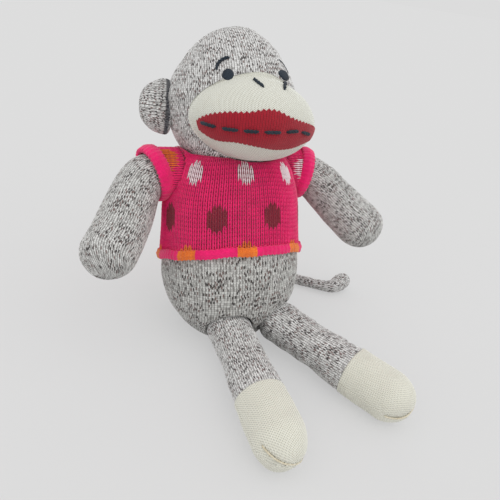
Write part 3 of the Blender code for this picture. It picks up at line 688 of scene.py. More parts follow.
def ontoFace(points, clearance):
    # Points inside the head's egg, in its own frame, move straight forward to its face
    tall = np.where(points[:, 2] > 0, head["up"], head["down"]) + clearance
    rise = np.arcsin(np.clip(points[:, 2] / tall, -1, 1))
    level = np.cos(rise) ** np.where(rise > 0, 1.0, head["jawFullness"])
    level = level * (1 - head["crownNarrowing"] * np.maximum(0, np.sin(rise)))
    across = level ** 2 - (points[:, 0] / (head["halfWidth"] + clearance)) ** 2
    face = -(head["halfDepth"] + clearance) * np.sqrt(np.maximum(across, 0))
    points = points.copy()
    points[:, 1] = np.where(across > 0, np.minimum(points[:, 1], face), points[:, 1])
    return points


def outOfMuzzle(points, clearance):
    # Points inside the muzzle's egg, in the head's frame, move straight out from its middle
    middle = np.array((muzzle["shift"], -muzzle["forward"], -muzzle["drop"]))
    half = np.array((muzzle["halfWidth"], muzzle["halfDepth"], muzzle["down"])) + clearance
    away = (points - middle) / half
    reach = np.linalg.norm(away, axis=1)
    return np.where((reach < 1)[:, None], middle + away / np.maximum(reach, 0.05)[:, None] * half, points)


limbs = {
    "hipHalfSpacing": 0.0265, "hipForward": 0.0365, "hipShift": 0.013, "hipHeight": 0.026,
    "legRadius": 0.0212,
    "spreads": {"right": 0.0, "left": 29.0},         # degrees
    "shoulderHeight": 0.160, "shoulderSeat": 0.0510, "armholeRadius": 0.0245,
    "sleeveFrom": 0.016, "sleeveRun": 0.026,     # where the jumper starts to rise over the arms, and how far
}


def offFloor(points):
    points = points.copy()
    points[:, 2] = np.maximum(points[:, 2], 0.0)
    return points


def clearOfLegs(points, lift=5.0, room=0.0010):
    # Points in the way of a leg, from lifted a few degrees to hanging down, move up or back out of it.
    # The leg's way is a wedge round the hip's line, thicker by the leg's own round section
    points = points.copy()
    low, high = math.radians(-lift), math.pi / 2
    for label, side in (("right", -1), ("left", 1)):
        spread = math.radians(limbs["spreads"][label]) * side
        hipX = limbs["hipShift"] + side * limbs["hipHalfSpacing"]
        y = -(points[:, 1] + limbs["hipForward"])
        z = -(points[:, 2] - limbs["hipHeight"])
        radius, angle = np.hypot(y, z), np.arctan2(z, y)
        angle = np.where(angle < -math.pi / 2 + low, angle + math.tau, angle)
        inside = (angle > low) & (angle < high)
        nearLow = abs(angle - low) < abs(angle - high)
        edge = np.where(nearLow, low, high)
        past = np.where(inside, -radius * np.sin(np.minimum(abs(angle - low), math.pi / 2)), 0)
        off = abs(angle - edge)
        outside = np.where(off < math.pi / 2, radius * np.sin(np.minimum(off, math.pi / 2)), radius)
        distance = np.where(inside, past, outside)
        sideways = points[:, 0] - hipX - math.tan(spread) * radius * np.cos(angle - edge).clip(0, 1)
        section = limbs["legRadius"] + room
        thick = np.sqrt(np.maximum(section ** 2 - (sideways * math.cos(spread)) ** 2, 0))
        push = np.where(thick > 0, np.maximum(thick - distance, 0), 0)
        upward, backward = np.array((0.0, -math.sin(low), math.cos(low))), np.array((0.0, 1.0, 0.0))
        weight = np.clip((angle - low) / (high - low), 0, 1)[:, None] ** 2
        points += unit((1 - weight) * upward + weight * backward) * push[:, None]
    return points


def fromShoulders(points):
    # Where points lie round the shoulders' line, in the trunk's frame, and how far from it
    away = points[:, 1:] - (0, limbs["shoulderHeight"])
    return away, np.hypot(away[:, 0], away[:, 1])


def clearOfArmholes(points, seat, radius, edge=0.0):
    # Points beside an armhole, in the trunk's frame, sink to its floor
    points = points.copy()
    away, off = fromShoulders(points)
    beyond = abs(points[:, 0]) > seat
    beside = (off >= radius) & (off < radius + edge) & beyond
    inside = (off < radius) & beyond
    points[inside, 0] = np.sign(points[inside, 0]) * seat
    points[beside, 1:] = away[beside] * (radius / off[beside])[:, None] + (0, limbs["shoulderHeight"])
    return points


def roundShoulders(points, radii, chosen):
    # The chosen points, in the trunk's frame, move straight out to their radii round the shoulders' line
    points = points.copy()
    away, off = fromShoulders(points)
    away[chosen] *= (radii[chosen] / np.maximum(off[chosen], 1e-6))[:, None]
    points[:, 1:] = away + (0, limbs["shoulderHeight"])
    return points


def roundArmholes(points, radius):
    # Points over an armhole, in the trunk's frame, move sideways to its edge
    off = fromShoulders(points)[1]
    return roundShoulders(points, radius + 0 * off, (off < radius) & (abs(points[:, 0]) > limbs["shoulderSeat"]))


def overArms(points, radius):
    # Points above an arm's line, in the trunk's frame, rise level with the top of its sleeve
    away, off = fromShoulders(points)
    share = np.clip((abs(points[:, 0]) - limbs["sleeveFrom"]) / limbs["sleeveRun"], 0, 1)
    radii = radius * share ** 2 * (3 - 2 * share)
    beside = abs(points[:, 0]) < limbs["shoulderSeat"] + 0.0004
    return roundShoulders(points, radii, (off < radii) & (away[:, 1] > 0) & beside)


def makeTrunk():
    skin = knitSkin(lambda turn, share: carried(torsoFrame, trunkPoint(turn, share)), trunk["wale"], trunk["course"])
    faces = skin["faces"]
    points = carriedBack(torsoFrame, skin["points"])
    points = carried(torsoFrame, clearOfArmholes(points, limbs["shoulderSeat"] - 0.0006, limbs["armholeRadius"]))
    points = carried(headFrame, outOfHead(carriedBack(headFrame, points), trunk["headGap"]))
    # Only the belly's low front half is eased, from 75 mm down and 30 mm back
    free = (np.clip((0.075 - points[:, 2]) / 0.02, 0, 1) * np.clip((0.03 - points[:, 1]) / 0.02, 0, 1))[:, None]
    for _ in range(trunk["smoothing"]):
        points = offFloor(clearOfLegs(points))
        points += free * 0.5 * (neighbourMean(points, faces) - points)
    skin["points"] = offFloor(clearOfLegs(points))
    skin = raised(skin, trunk, 3)
    skin["points"] = offFloor(skin["points"])
    addStuffed("trunkSkin", skin, "torso", marlInShade, "body")


makeTrunk()
print("trunk made")


neck = {
    "radius": 0.0228, "wale": 0.0024, "course": 0.0022,
    "relief": 0.0002, "lumpHeight": 0.0, "lumpSize": 0.03,
}


def neckPoint(turn, rise):
    # A ball
    return neck["radius"] * np.stack((np.sin(turn) * np.cos(rise), -np.cos(turn) * np.cos(rise), np.sin(rise)), axis=-1)


def skinOf(pointAt, piece, matrix):
    # A knitted skin over a piece's round form, pointAt(turn, rise)
    return knitSkin(lambda turn, share: carried(matrix, pointAt(turn, riseOf(share))), piece["wale"], piece["course"])


def makeMuzzle():
    skin = skinOf(muzzlePoint, muzzle, worldFrame)
    skin["points"] = carried(headFrame, ontoFace(skin["points"], muzzle["faceGap"]))
    addStuffed("muzzleSkin", raised(skin, muzzle, muzzle["seed"]), "head", creamWool, "muzzle")


addStuffed("neckSkin", raised(skinOf(neckPoint, neck, neckFrame), neck, 0), "neck", marl, "neck")
addStuffed("headSkin", raised(skinOf(headPoint, head, headFrame), head, head["seed"]), "head", marl, "head")
makeMuzzle()

mouth = {
    "middle": -3.0, "turn": 75.0,                # degrees: where its middle is, how far it reaches each way
    "upperShares": ((-1, -0.27), (-0.84, -0.09), (-0.6, 0.06), (-0.28, 0.16), (-0.11, 0.28), (0.01, 0.28),
                    (0.16, 0.155), (0.48, 0.02), (0.74, -0.05), (1, -0.2)),
    "lowerShares": ((-1, -0.55), (-0.8, -0.82), (-0.44, -0.875), (-0.1, -0.965), (0.11, -1.01),
                    (0.34, -0.91), (0.65, -0.63), (1, -0.38)),
    "riseUnit": 40.0,
    "wales": 66, "courses": 19,
    "lift": 0.0010, "depth": 0.0004, "relief": 0.00016,
    "toothWales": 2, "toothHigh": 1.3,           # degrees
}


def mouthPlace(across, up):
    # Turn and rise in the mouth: across runs from -1 to 1 between its corners, up from 0 to 1
    high, low = (mouth["riseUnit"] * follow(mouth[key], across) for key in ("upperShares", "lowerShares"))
    tooth = abs((across + 1) / 2 * mouth["wales"] / mouth["toothWales"] % 1 - 0.5) * 4 - 1
    high, low = high + mouth["toothHigh"] * tooth, low - 0.6 * mouth["toothHigh"] * tooth
    return np.radians(mouth["middle"] + mouth["turn"] * across), np.radians(low + (high - low) * up)


def onSkin(pointAt, piece, turn, rise, lift):
    # Points over a piece's own skin, in the world, with the same lumps under them, and the ways out there
    base = carried(headFrame, pointAt(turn, rise).reshape(-1, 3))
    out = unit(carried(headFrame, pointAt(turn, rise, 0.001).reshape(-1, 3)) - base)
    lift = np.broadcast_to(lift, np.shape(turn)).reshape(-1)
    lift = lift + lumps(base, piece["lumpSize"], piece["seed"]) * piece["lumpHeight"]
    return base + out * lift[:, None], out


def onMuzzle(turn, rise, lift):
    return onSkin(muzzlePoint, muzzle, turn, rise, lift)


def makeMouth():
    columns, rows = knitting["columns"] * mouth["wales"] + 1, knitting["rows"] * mouth["courses"] + 1
    wale, course = np.arange(columns) / knitting["columns"], np.arange(rows) / knitting["rows"]
    place = course[:, None] + zigzagOf(wale)[None, :] * np.minimum(1, 2 * np.minimum(course, course[::-1]))[:, None]
    across = np.broadcast_to(np.linspace(-1, 1, columns)[None, :], place.shape)
    turn, rise = mouthPlace(across, place / mouth["courses"])
    lift = mouth["lift"] + mouth["relief"] * reliefOf(np.arange(columns), np.arange(rows))
    lift[[0, -1]] = lift[:, [0, -1]] = 0.0
    outer = onMuzzle(turn, rise, lift)[0].reshape(rows, columns, 3)
    inner = onMuzzle(turn, rise, -mouth["depth"])[0].reshape(rows, columns, 3)
    points, quads = closedPatch(outer, inner)
    stitches = np.tile(np.stack((np.broadcast_to(wale, place.shape), place), axis=-1).reshape(-1, 2), (2, 1))
    quads, = facedOut(points, [quads])
    piece = addPiece("mouthPatch", points, [quads], "head", [redWool], stitches[quads.ravel()],
                     replaces=("mouth",))


makeMouth()

face = {
    "dashStarts": (-0.89, -0.59, -0.34, -0.105, 0.155, 0.395),       # across the mouth
    "dashEnds": (-0.69, -0.42, -0.19, 0.065, 0.305, 0.545),
    "dashLineShares": ((-0.89, -0.295), (-0.69, -0.38), (-0.2, -0.4), (0.065, -0.345), (0.3, -0.255),
                       (0.55, -0.3)),
    "dashRadius": 0.00155, "dashOver": 0.012,    # how far each stitch dives in past its ends
    "eyes": {"right": (-28.8, 16.0), "left": (30.5, 23.0)},          # degrees of turn and rise
    "eyeWide": {"right": 0.0053, "left": 0.0090}, "eyeHigh": {"right": 0.0053, "left": 0.0047},
    "eyeBulge": 0.0017, "satinEvery": 0.0009, "satinHigh": 0.00012,
    "browTurnShares": ((0, 10.6), (1, 10.4), (2, 6.8), (3, 0.6)),    # degrees from its eye
    "browRiseShares": ((0, 2.4), (1, 7.1), (2, 11.0), (3, 13.4)),
    "browShift": {"right": 0.0, "left": 3.0},    # degrees that its outer end lies further round
    "browHeights": {"right": 0.75, "left": -0.3}, "browRadii": {"right": 0.0014, "left": 0.0010},
    "nostrilLifts": {"right": (0.0, 0.0, 0.0), "left": (6.3, 2.7, 2.0)},     # degrees of rise
    "nostrilShifts": {"right": (0.0, 0.0, 0.0), "left": (22.3, 0.6, 0.6)},   # degrees of turn, outwards
    "nostrilTurnShares": ((0, 28.0), (1, 21.0), (2, 13.6)),
    "nostrilRiseShares": ((0, 52.0), (1, 45.5), (2, 38.8)),
    "threadRadius": 0.0014, "twist": 0.0032,
}


def onHead(turn, rise, lift):
    return onSkin(headPoint, head, turn, rise, lift)


def addThread(name, node, path, normals, radius, height=0.75):
    points, faces = yarn(path, normals, radius, height, face["twist"])
    piece = addPiece(name, points, faces, "head", [darkYarn], replaces=(node,))


def makeDashes():
    for number, (start, end) in enumerate(zip(face["dashStarts"], face["dashEnds"]), 1):
        across = np.linspace(start - face["dashOver"], end + face["dashOver"], 50)
        turn = np.radians(mouth["middle"] + mouth["turn"] * across)
        rise = np.radians(mouth["riseUnit"] * follow(face["dashLineShares"], across))
        path, normals = onMuzzle(turn, rise, mouth["lift"])
        addThread(f"mouthStitch_{number}", f"mouth_stitch_{number}", path, normals, face["dashRadius"])


def makeEye(label, turn, rise):
    # A satin-stitched round with eight blunt corners: a low dome with ridges across it
    sides, sunk = 96, -0.0008
    around = np.arange(sides) * math.tau / sides
    share = np.sin(np.linspace(0, math.pi / 2, 18))[1:, None]
    corner = math.cos(math.pi / 8) / np.cos((around + math.pi / 8) % (math.pi / 4) - math.pi / 8)
    reach = (0.35 + 0.65 * corner) * share
    x, y = face["eyeWide"][label] * reach * np.sin(around), face["eyeHigh"][label] * reach * np.cos(around)
    satin = face["satinHigh"] * abs(np.sin((x * 0.35 + y) / face["satinEvery"] * math.pi))
    high = face["eyeBulge"] * np.sqrt(1 - 0.995 * share ** 3) + satin * (share < 0.97)
    # The rim goes down into the head, and a point closes each end
    x, y = (np.append(np.vstack((grid, grid[-1:])), (0, 0)) for grid in (x, y))
    high = np.append(np.vstack((high, np.full((1, sides), sunk))), (face["eyeBulge"], sunk))
    points = onHead(turn + x / (head["halfWidth"] * math.cos(rise)), rise + y / head["up"], high)[0]
    piece = addPiece("eyeStitching_" + label, points, cappedRounds(points, sides), "head", [darkYarn],
                     replaces=("eye_" + label,))


def makeBrow(label, side, turn, rise):
    knots = np.linspace(0, 3, 60)
    turns = follow(face["browTurnShares"], knots) + face["browShift"][label] * (1 - knots / 3)
    rises = rise + np.radians(follow(face["browRiseShares"], knots))
    addThread("brow_" + label, "eyebrow_" + label, *onHead(turn + side * np.radians(turns), rises, 0.0),
              face["browRadii"][label], face["browHeights"][label])


def makeNostril(label, side):
    knots = np.linspace(0, 2, 60)
    turns, rises = (np.radians(follow(face[shares], knots) + np.interp(knots, (0, 1, 2), face[moves][label]))
                    for shares, moves in (("nostrilTurnShares", "nostrilShifts"),
                                          ("nostrilRiseShares", "nostrilLifts")))
    addThread("nostrilStitch_" + label, "nostril_" + label, *onMuzzle(side * turns, rises, 0.0), face["threadRadius"])


makeDashes()
for label, side in (("right", -1), ("left", 1)):
    eyePlace = np.radians(face["eyes"][label])
    makeEye(label, *eyePlace)
    makeBrow(label, side, *eyePlace)
    makeNostril(label, side)
print("head and face made")

# Tubes: arms, sleeves, legs, feet and tail are rounds carried along a path


def carriedFrames(directions, start):
    # Unit vectors square to the path, passed from point to point without twisting
    ups, sides = [], []
    up = np.array(start, float)
    for direction in directions:
        up = unit(up - direction * np.dot(up, direction))
        ups.append(up)
        sides.append(np.cross(direction, up))
    return np.array(ups), np.array(sides)


def tubeSurface(path, radii, matrix=worldFrame):
    # Surface of a tube: the point at share along the path, plus the radius there, round by turn
    path = np.asarray(path, float)
    directions = np.gradient(path, axis=0)
    lengths = np.linalg.norm(directions, axis=1)
    for row in np.flatnonzero(lengths < 1e-9):
        directions[row] = directions[row - 1 if row else 1]
    ups, sides = carriedFrames(unit(directions), (0, 0, 1))
    places = np.linspace(0, 1, len(path))

    def surface(turn, share, lift=0.0):
        at = lambda table: np.stack([np.interp(share, places, table[:, axis]) for axis in range(3)], axis=-1)
        radius = (np.interp(share, places, radii) + lift)[:, None]
        offset = radius * (np.cos(turn)[:, None] * at(ups) + np.sin(turn)[:, None] * at(sides))
        return carried(matrix, at(path) + offset)
    return surface


sleeve = {
    "wall": 0.0028, "clothLift": -0.0014,        # the cloth lies in the middle of the wall
    "jumperOut": (0.0006, 0.0028),               # the jumper's gap and wall, beside the armhole
    "straightRun": 0.0027,       # past the armhole's edge, before the arm bends down
    "swellShares": ((0, 1), (0.5, 1), (0.8, 0.98), (1, 0.95)),
    "lengthShare": 0.12,         # of the arm's curve
    "cuffThick": 0.0032, "cuffLong": 0.0066, "cuffBack": 0.0038, "cuffPurl": 0.07,
    "wales": 36, "course": 0.0044,
    "motif": {"right": (3, 31.0, 1), "left": (2, 7.5, 1)},       # yarn number, middle wale, first course
    "motifHalves": (2, 2.6, 2.6, 2),             # its half widths in wales, course by course
    "motifWide": 0.72,           # how wide a motif's stitch legs are
}


arm = {
    "handRadius": 0.0238,
    "swellShares": ((0, 0.78), (0.45, 0.9), (1, 1)),
    "reach": {"right": (0.070, -0.042, -0.060), "left": (0.078, -0.036, -0.050)},
    "runOut": 0.024, "droop": 0.046,
    "wale": 0.0021, "course": 0.0019,
    "relief": 0.00022, "lumpHeight": 0.0005, "lumpSize": 0.025,
}


def armStart():
    # Where the curve starts: at the jumper's outside below the armhole, measured from the seat
    share = (limbs["shoulderHeight"] - limbs["armholeRadius"] - trunk["low"]) / (trunk["high"] - trunk["low"])
    side = (trunk["halfWidth"] + sum(sleeve["jumperOut"])) * follow(trunk["widthShares"], share)
    return float(side) - limbs["shoulderSeat"] + sleeve["straightRun"]


def armCurve(label, side, shares):
    # A cubic curve: straight out of the armhole, then drooping to the hand
    start = np.array((armStart(), 0, 0))
    hand = np.array(arm["reach"][label])
    out = np.array((1, 0, 0.0))
    droop = unit(hand - np.array((arm["runOut"], 0, 0)))
    knots = (start, start + arm["runOut"] * out, hand - arm["droop"] * droop, hand)
    t = np.asarray(shares, float)[:, None]
    u = 1 - t
    points = u ** 3 * knots[0] + 3 * u ** 2 * t * knots[1] + 3 * u * t ** 2 * knots[2] + t ** 3 * knots[3]
    return points * np.array((side, 1, 1.0))


def roundedEnd(path, radii, length, steps=14):
    # Adds a round end to a tube: the path runs on as a sine and the radius falls as a cosine
    angles = np.linspace(0, math.pi / 2, steps)[1:]
    more = path[-1] + unit(path[-1] - path[-2]) * (length * np.sin(angles))[:, None]
    return np.vstack((path, more)), np.concatenate((radii, radii[-1] * np.cos(angles)))


def shoulderFrame(side):
    return frameAt(np.eye(3), (side * limbs["shoulderSeat"], 0, limbs["shoulderHeight"]), torsoFrame)


def makeArm(label, side):
    shares = np.linspace(0, 1, 60)
    path = armCurve(label, side, shares)
    radii = arm["handRadius"] * follow(arm["swellShares"], shares)
    path = np.vstack(([[side * 0.0008, 0, 0]], path))
    radii = np.concatenate(([radii[0]], radii))
    path, radii = roundedEnd(path[::-1], radii[::-1], 0.0006, steps=6)
    path, radii = roundedEnd(path[::-1], radii[::-1], arm["handRadius"])
    surface = tubeSurface(path, radii, shoulderFrame(side))
    skin = knitSkin(surface, arm["wale"], arm["course"], centres=(0.4,))
    addStuffed("armSkin_" + label, raised(skin, arm, 20 + side), "arm_" + label, marlArm, "arm_" + label)


leg = {
    "swellShares": ((0, 1), (0.45, 0.95), (1, 1.05)),
    "footHalfWidth": 0.0220, "footHalfHeight": 0.0235,
    "ringDistance": 0.085, "toeDistance": 0.121, "toeLength": 0.025,
    "footSwellShares": ((0, 0), (0.6, 1), (1, 1)),
    "toeBluntness": 0.85, "soleDepth": 0.0005,
    "wale": 0.00215, "course": 0.0020, "relief": 0.00022, "lumpHeight": 0.0005, "lumpSize": 0.025,
    "footWale": 0.0022, "footCourse": 0.0019,
}


def hipFrame(label, side):
    # Z runs down the leg and Y is up
    spread = math.radians(limbs["spreads"][label])
    drop = limbs["hipHeight"] - (leg["footHalfHeight"] - leg["soleDepth"])
    level = math.sqrt(leg["toeDistance"] ** 2 - drop ** 2)
    direction = Vector((side * level * math.sin(spread), -level * math.cos(spread), -drop))
    rotation = np.array(direction.to_track_quat("Z", "Y").to_matrix())
    return frameAt(rotation, (limbs["hipShift"] + side * limbs["hipHalfSpacing"], -limbs["hipForward"],
                              limbs["hipHeight"]))


def ovalTube(places, wides, talls, matrix):
    # Surface of a straight tube with oval rounds, from tables of place, half width and half height
    def surface(turn, share):
        table = np.linspace(0, 1, len(places))
        place, wide, tall = (np.interp(share, table, values) for values in (places, wides, talls))
        return carried(matrix, np.stack((wide * np.sin(turn), tall * np.cos(turn), place + 0 * turn), axis=-1))
    return surface


def makeLeg(label, side):
    matrix = hipFrame(label, side)
    rootAngles = np.linspace(-math.pi / 2, 0, 24)
    shares = np.linspace(0, 1, 60)
    radii = limbs["legRadius"] * follow(leg["swellShares"], shares)
    end = leg["ringDistance"] + 0.0004
    closing = np.linspace(1, 0, 12)[1:]
    places = np.concatenate((limbs["legRadius"] * np.sin(rootAngles), shares[1:] * end, end + 0 * closing))
    rounds = np.concatenate((limbs["legRadius"] * np.cos(rootAngles), radii[1:], (radii[-1] - 0.0004) * closing))
    surface = ovalTube(places, rounds, rounds, matrix)
    skin = knitSkin(surface, leg["wale"], leg["course"], centres=(side * 0.5,))
    skin = raised(skin, leg, 30 + side)
    skin["points"] = offFloor(skin["points"])
    addStuffed("legSkin_" + label, skin, "leg_" + label, marl, "leg_" + label)


toeSeam = {
    "rolls": {"right": 24.0, "left": -10.0},     # degrees that its outer end stands higher
    "sweep": 66.0,               # degrees from the toe's end to each side
    "radius": 0.0008, "height": -0.1, "twist": 0.0022,       # its yarn lies a tenth of a radius low
    "groove": 0.0011, "grooveWidth": 0.0017,
    "pucker": 0.00035, "puckerEvery": 0.0030, "puckerReach": 0.0042,
}


def puckered(points, roll):
    # Foot points, in the hip's frame, drawn in along the toe's seam, with small creases across it
    roll = math.radians(roll)
    across = points[:, 0] * math.sin(roll) + points[:, 1] * math.cos(roll)
    along = points[:, 0] * math.cos(roll) - points[:, 1] * math.sin(roll)
    ahead = points[:, 2] - leg["toeDistance"]
    lean = np.arctan2(abs(along), ahead)
    reach = np.clip((math.radians(toeSeam["sweep"] + 6) - lean) / math.radians(10), 0, 1)
    draw = toeSeam["groove"] * np.exp(-(across / toeSeam["grooveWidth"]) ** 2)
    crease = np.cos(lean * np.sign(along) * leg["toeLength"] / toeSeam["puckerEvery"] * math.tau)
    draw += toeSeam["pucker"] * crease * np.exp(-(across / toeSeam["puckerReach"]) ** 2)
    inward = np.stack((points[:, 0], points[:, 1], np.maximum(ahead, 0)), axis=-1)
    inward /= np.maximum(np.linalg.norm(inward, axis=1), 1e-6)[:, None]
    return points - inward * (draw * reach)[:, None]


def makeToeSeam(label):
    matrix = hipFrame(label, -1 if label == "right" else 1)
    roll = math.radians(toeSeam["rolls"][label])
    lean = np.linspace(-1, 1, 90) * math.radians(toeSeam["sweep"])
    level = np.sign(lean) * abs(np.sin(lean)) ** leg["toeBluntness"]
    cosine, sine = math.cos(roll), math.sin(roll)
    path = np.stack((leg["footHalfWidth"] * level * cosine, -leg["footHalfHeight"] * level * sine,
                     leg["toeDistance"] + leg["toeLength"] * np.cos(lean)), axis=-1)
    normals = np.stack((np.sin(lean) * cosine, -np.sin(lean) * sine, np.cos(lean)), axis=-1)
    points, faces = yarn(carried(matrix, path), normals @ matrix[:3, :3].T, toeSeam["radius"], toeSeam["height"],
                         toeSeam["twist"])
    piece = addPiece("toeSeam_" + label, offFloor(points), faces, "leg_" + label, [tanYarn],
                     replaces=("toe_seam_" + label,))


def makeFoot(label, side):
    matrix = hipFrame(label, side)
    start = leg["ringDistance"]
    ankle = limbs["legRadius"] * leg["swellShares"][-1][1] + 0.0003
    opening = np.linspace(0, 1, 12)[:-1]
    shares = np.linspace(0, 1, 40)
    swell = follow(leg["footSwellShares"], shares)
    angles = np.linspace(0, math.pi / 2, 30)[1:]
    blunt = np.cos(angles) ** leg["toeBluntness"]
    places = np.concatenate((start + 0 * opening, start + shares * (leg["toeDistance"] - start),
                             leg["toeDistance"] + leg["toeLength"] * np.sin(angles)))
    wides = np.concatenate((ankle * opening, ankle + (leg["footHalfWidth"] - ankle) * swell,
                            leg["footHalfWidth"] * blunt))
    talls = np.concatenate((ankle * opening, ankle + (leg["footHalfHeight"] - ankle) * swell,
                            leg["footHalfHeight"] * blunt))
    skin = knitSkin(ovalTube(places, wides, talls, matrix), leg["footWale"], leg["footCourse"])
    skin["points"] = carried(matrix, puckered(carriedBack(matrix, skin["points"]), toeSeam["rolls"][label]))
    skin = raised(skin, leg, 40 + side)
    skin["points"] = offFloor(skin["points"])
    addStuffed("footSkin_" + label, skin, "leg_" + label, creamSoft, "foot_" + label)


for label, side in (("right", -1), ("left", 1)):
    makeArm(label, side)
    makeLeg(label, side)
    makeFoot(label, side)
    makeToeSeam(label)
print("limbs made")

# Jumper: a knitted cloth with every stitch's two legs standing on it

jumper = {
    "hemHeight": 0.0815, "hemRise": 0.013,
    "topShare": 0.972,           # of the trunk's height, where the neck opening is
    "shoulderRoundness": 12.0,   # fuller than the trunk, over the tops of the arms
    "widthShares": ((0, 0.80), (0.3, 1.0), (0.6, 0.97), (0.77, 0.93), (0.87, 0.855), (1, 0.80)),
    "innerLift": 0.0006, "outerLift": 0.0016,
    "wales": 96,                 # round the trunk
    "course": 0.0044,
    "hemThick": 0.0023, "hemLong": 0.0042, "rollRise": 0.0013, "hemPurl": 0.11,
    "hemWaves": ((7, 1), (13, 2)), "hemWave": 0.0004,        # waves round the hem and where they start
    "headRoom": 0.0012, "muzzleRoom": 0.0012,
    "motifEvery": 12,            # wales
    "paleMotifAt": -1,           # wale where a white and orange column has its middle
    "darkMotifAt": 5,            # the same for a dark red one
    "orangeRows": {0: 2, 1: 1},  # course: half the motif's width in wales
    "darkRows": {5: 1, 6: 2, 7: 2, 8: 2, 9: 2, 10: 1},
    "whiteRows": {16: 1, 17: 2, 18: 2, 19: 2, 20: 1},
    "waleShift": 0.3,            # courses that a wale stands higher or lower than its neighbours
}


def trunkShareAt(height):
    return (height - trunk["low"]) / (trunk["high"] - trunk["low"])


def jumperPoint(turn, share, lift=0.0, drop=0.0):
    # The trunk's surface pushed out, with each round of knitting rising at the front
    top, hem = trunkShareAt(limbs["shoulderHeight"]), trunkShareAt(jumper["hemHeight"])
    ease = np.maximum(0, (top - share) / (top - hem))
    moved = share + (jumper["hemRise"] * ease * np.cos(turn) - drop) / (trunk["high"] - trunk["low"])
    return trunkPoint(turn, moved, lift, jumper["shoulderRoundness"], jumper["widthShares"])


def underHead(points):
    # Jumper points, in the trunk's frame, that would stand in the head or muzzle lie against them
    inHead = outOfHead(carriedBack(headFrame, carried(torsoFrame, points)), jumper["headRoom"])
    inHead = outOfMuzzle(inHead, jumper["muzzleRoom"])
    return carriedBack(torsoFrame, carried(headFrame, inHead))


def loopGrid(points):
    # Quads over an array of points closed both ways
    rows, columns = points.shape[:2]
    numbers = np.pad(np.arange(rows * columns).reshape(rows, columns), ((0, 1), (0, 1)), "wrap")
    return facedOut(points.reshape(-1, 3), [gridQuads(numbers)])[0]


def motifOf(wale, course):
    # Material number of a stitch: 0 pink, 1 dark red, 2 white, 3 orange
    pick = np.zeros(np.broadcast(wale, course).shape, int)
    every = jumper["motifEvery"]
    for number, rows, middle in ((1, "darkRows", "darkMotifAt"), (2, "whiteRows", "paleMotifAt"),
                                 (3, "orangeRows", "paleMotifAt")):
        off = abs((wale + 0.5 - jumper[middle] + every / 2) % every - every / 2)
        for row, half in jumper[rows].items():
            pick = np.where((course == row) & (off < half), number, pick)
    return pick


stitchLeg = {
    "places": (0.0, 0.16, 0.5, 0.84, 1.0),       # along the leg
    "halfWidths": (0.11, 0.155, 0.125),          # wales
    "halfHeights": (0.00050, 0.00062, 0.00055),
    "middles": (-0.0004, 0.0005, 0.0006, 0.0005, -0.0004),   # above the cloth
    "foot": 0.385, "peak": 0.10,                 # wales from the stitch's middle line
    "length": 1.95,                              # courses
    "wides": (1.0, 1.1, 0.6, 0.95),              # pink, dark red, white, orange: finer yarns
    "sides": 5,
}


def stitchLegs(surface, wales, courses, wide=1.0):
    # Both legs of each stitch as closed drops: three rounds of points between two poles.
    # surface(u, v, h) gives the point at u wales, v courses and h above the cloth
    sides, places = stitchLeg["sides"], np.array(stitchLeg["places"])
    angles = np.arange(sides) * math.tau / sides
    du, dv, dh = [0.0], [places[0]], [stitchLeg["middles"][0]]
    for ring in range(3):
        du += list(stitchLeg["halfWidths"][ring] * np.cos(angles))
        dh += list(stitchLeg["middles"][ring + 1] + stitchLeg["halfHeights"][ring] * np.sin(angles))
        dv += [places[ring + 1]] * sides
    du, dv, dh = np.array(du + [0.0]), np.array(dv + [places[4]]), np.array(dh + [stitchLeg["middles"][4]])
    lean = stitchLeg["foot"] + (stitchLeg["peak"] - stitchLeg["foot"]) * dv
    wales, courses = np.repeat(wales, 2), np.repeat(courses, 2)
    hand = np.tile((-1.0, 1.0), len(wales) // 2)
    wide = np.broadcast_to(np.asarray(wide, float).reshape(-1, 1), (len(wales) // 2, 1)).repeat(2, axis=0)
    u = wales[:, None] + 0.5 + hand[:, None] * lean[None, :] + wide * du[None, :]
    v = courses[:, None] + stitchLeg["length"] * dv[None, :]
    h = np.broadcast_to(dh[None, :], u.shape)
    points = surface(u.ravel(), v.ravel(), h.ravel())
    ring = np.arange(sides)
    after = (ring + 1) % sides
    quads = np.concatenate([np.column_stack((1 + base + ring, 1 + base + after, 1 + base + sides + after,
                                             1 + base + sides + ring)) for base in (0, sides)])
    last = len(du) - 1
    low = np.column_stack((np.zeros(sides, int), 1 + after, 1 + ring))
    high = np.column_stack((np.full(sides, last), last - sides + ring, last - sides + after))
    offsets = (np.arange(len(wales)) * len(du))[:, None, None]
    quads = (offsets + quads[None]).reshape(-1, 4)
    triangles = (offsets + np.concatenate((low, high))[None]).reshape(-1, 3)
    return points, facedOut(points, [quads, triangles]), np.tile(np.repeat(np.arange(len(wales)), 2 * sides), 2)


def addStitches(name, body, surface, wale, course, number, wide):
    # The stitches as one piece, each in the yarn of its number
    points, faces, legOf = stitchLegs(surface, wale, course, wide)
    stitches = addPiece(name, points, faces, body, jumperYarns, faceMaterials=np.repeat(number, 2)[legOf])
    return stitches


def foldedCloth(shares, outer, inner):
    # Rows of a thin closed cloth as (share, lift) pairs: up its outside and down its inside
    return np.array([(share, outer) for share in shares] + [(share, inner) for share in shares[::-1]])


jumperYarns = [pinkYarn, maroonYarn, whiteYarn, orangeYarn]
# A darker pink for the cloth under the sleeves' stitches: painted shade in the gaps between them
sleeveShadeCloth = woolYarn("pink yarn of painted shade between the sleeve's stitches", colourOf(190, 18, 86), colourOf(160, 14, 70))


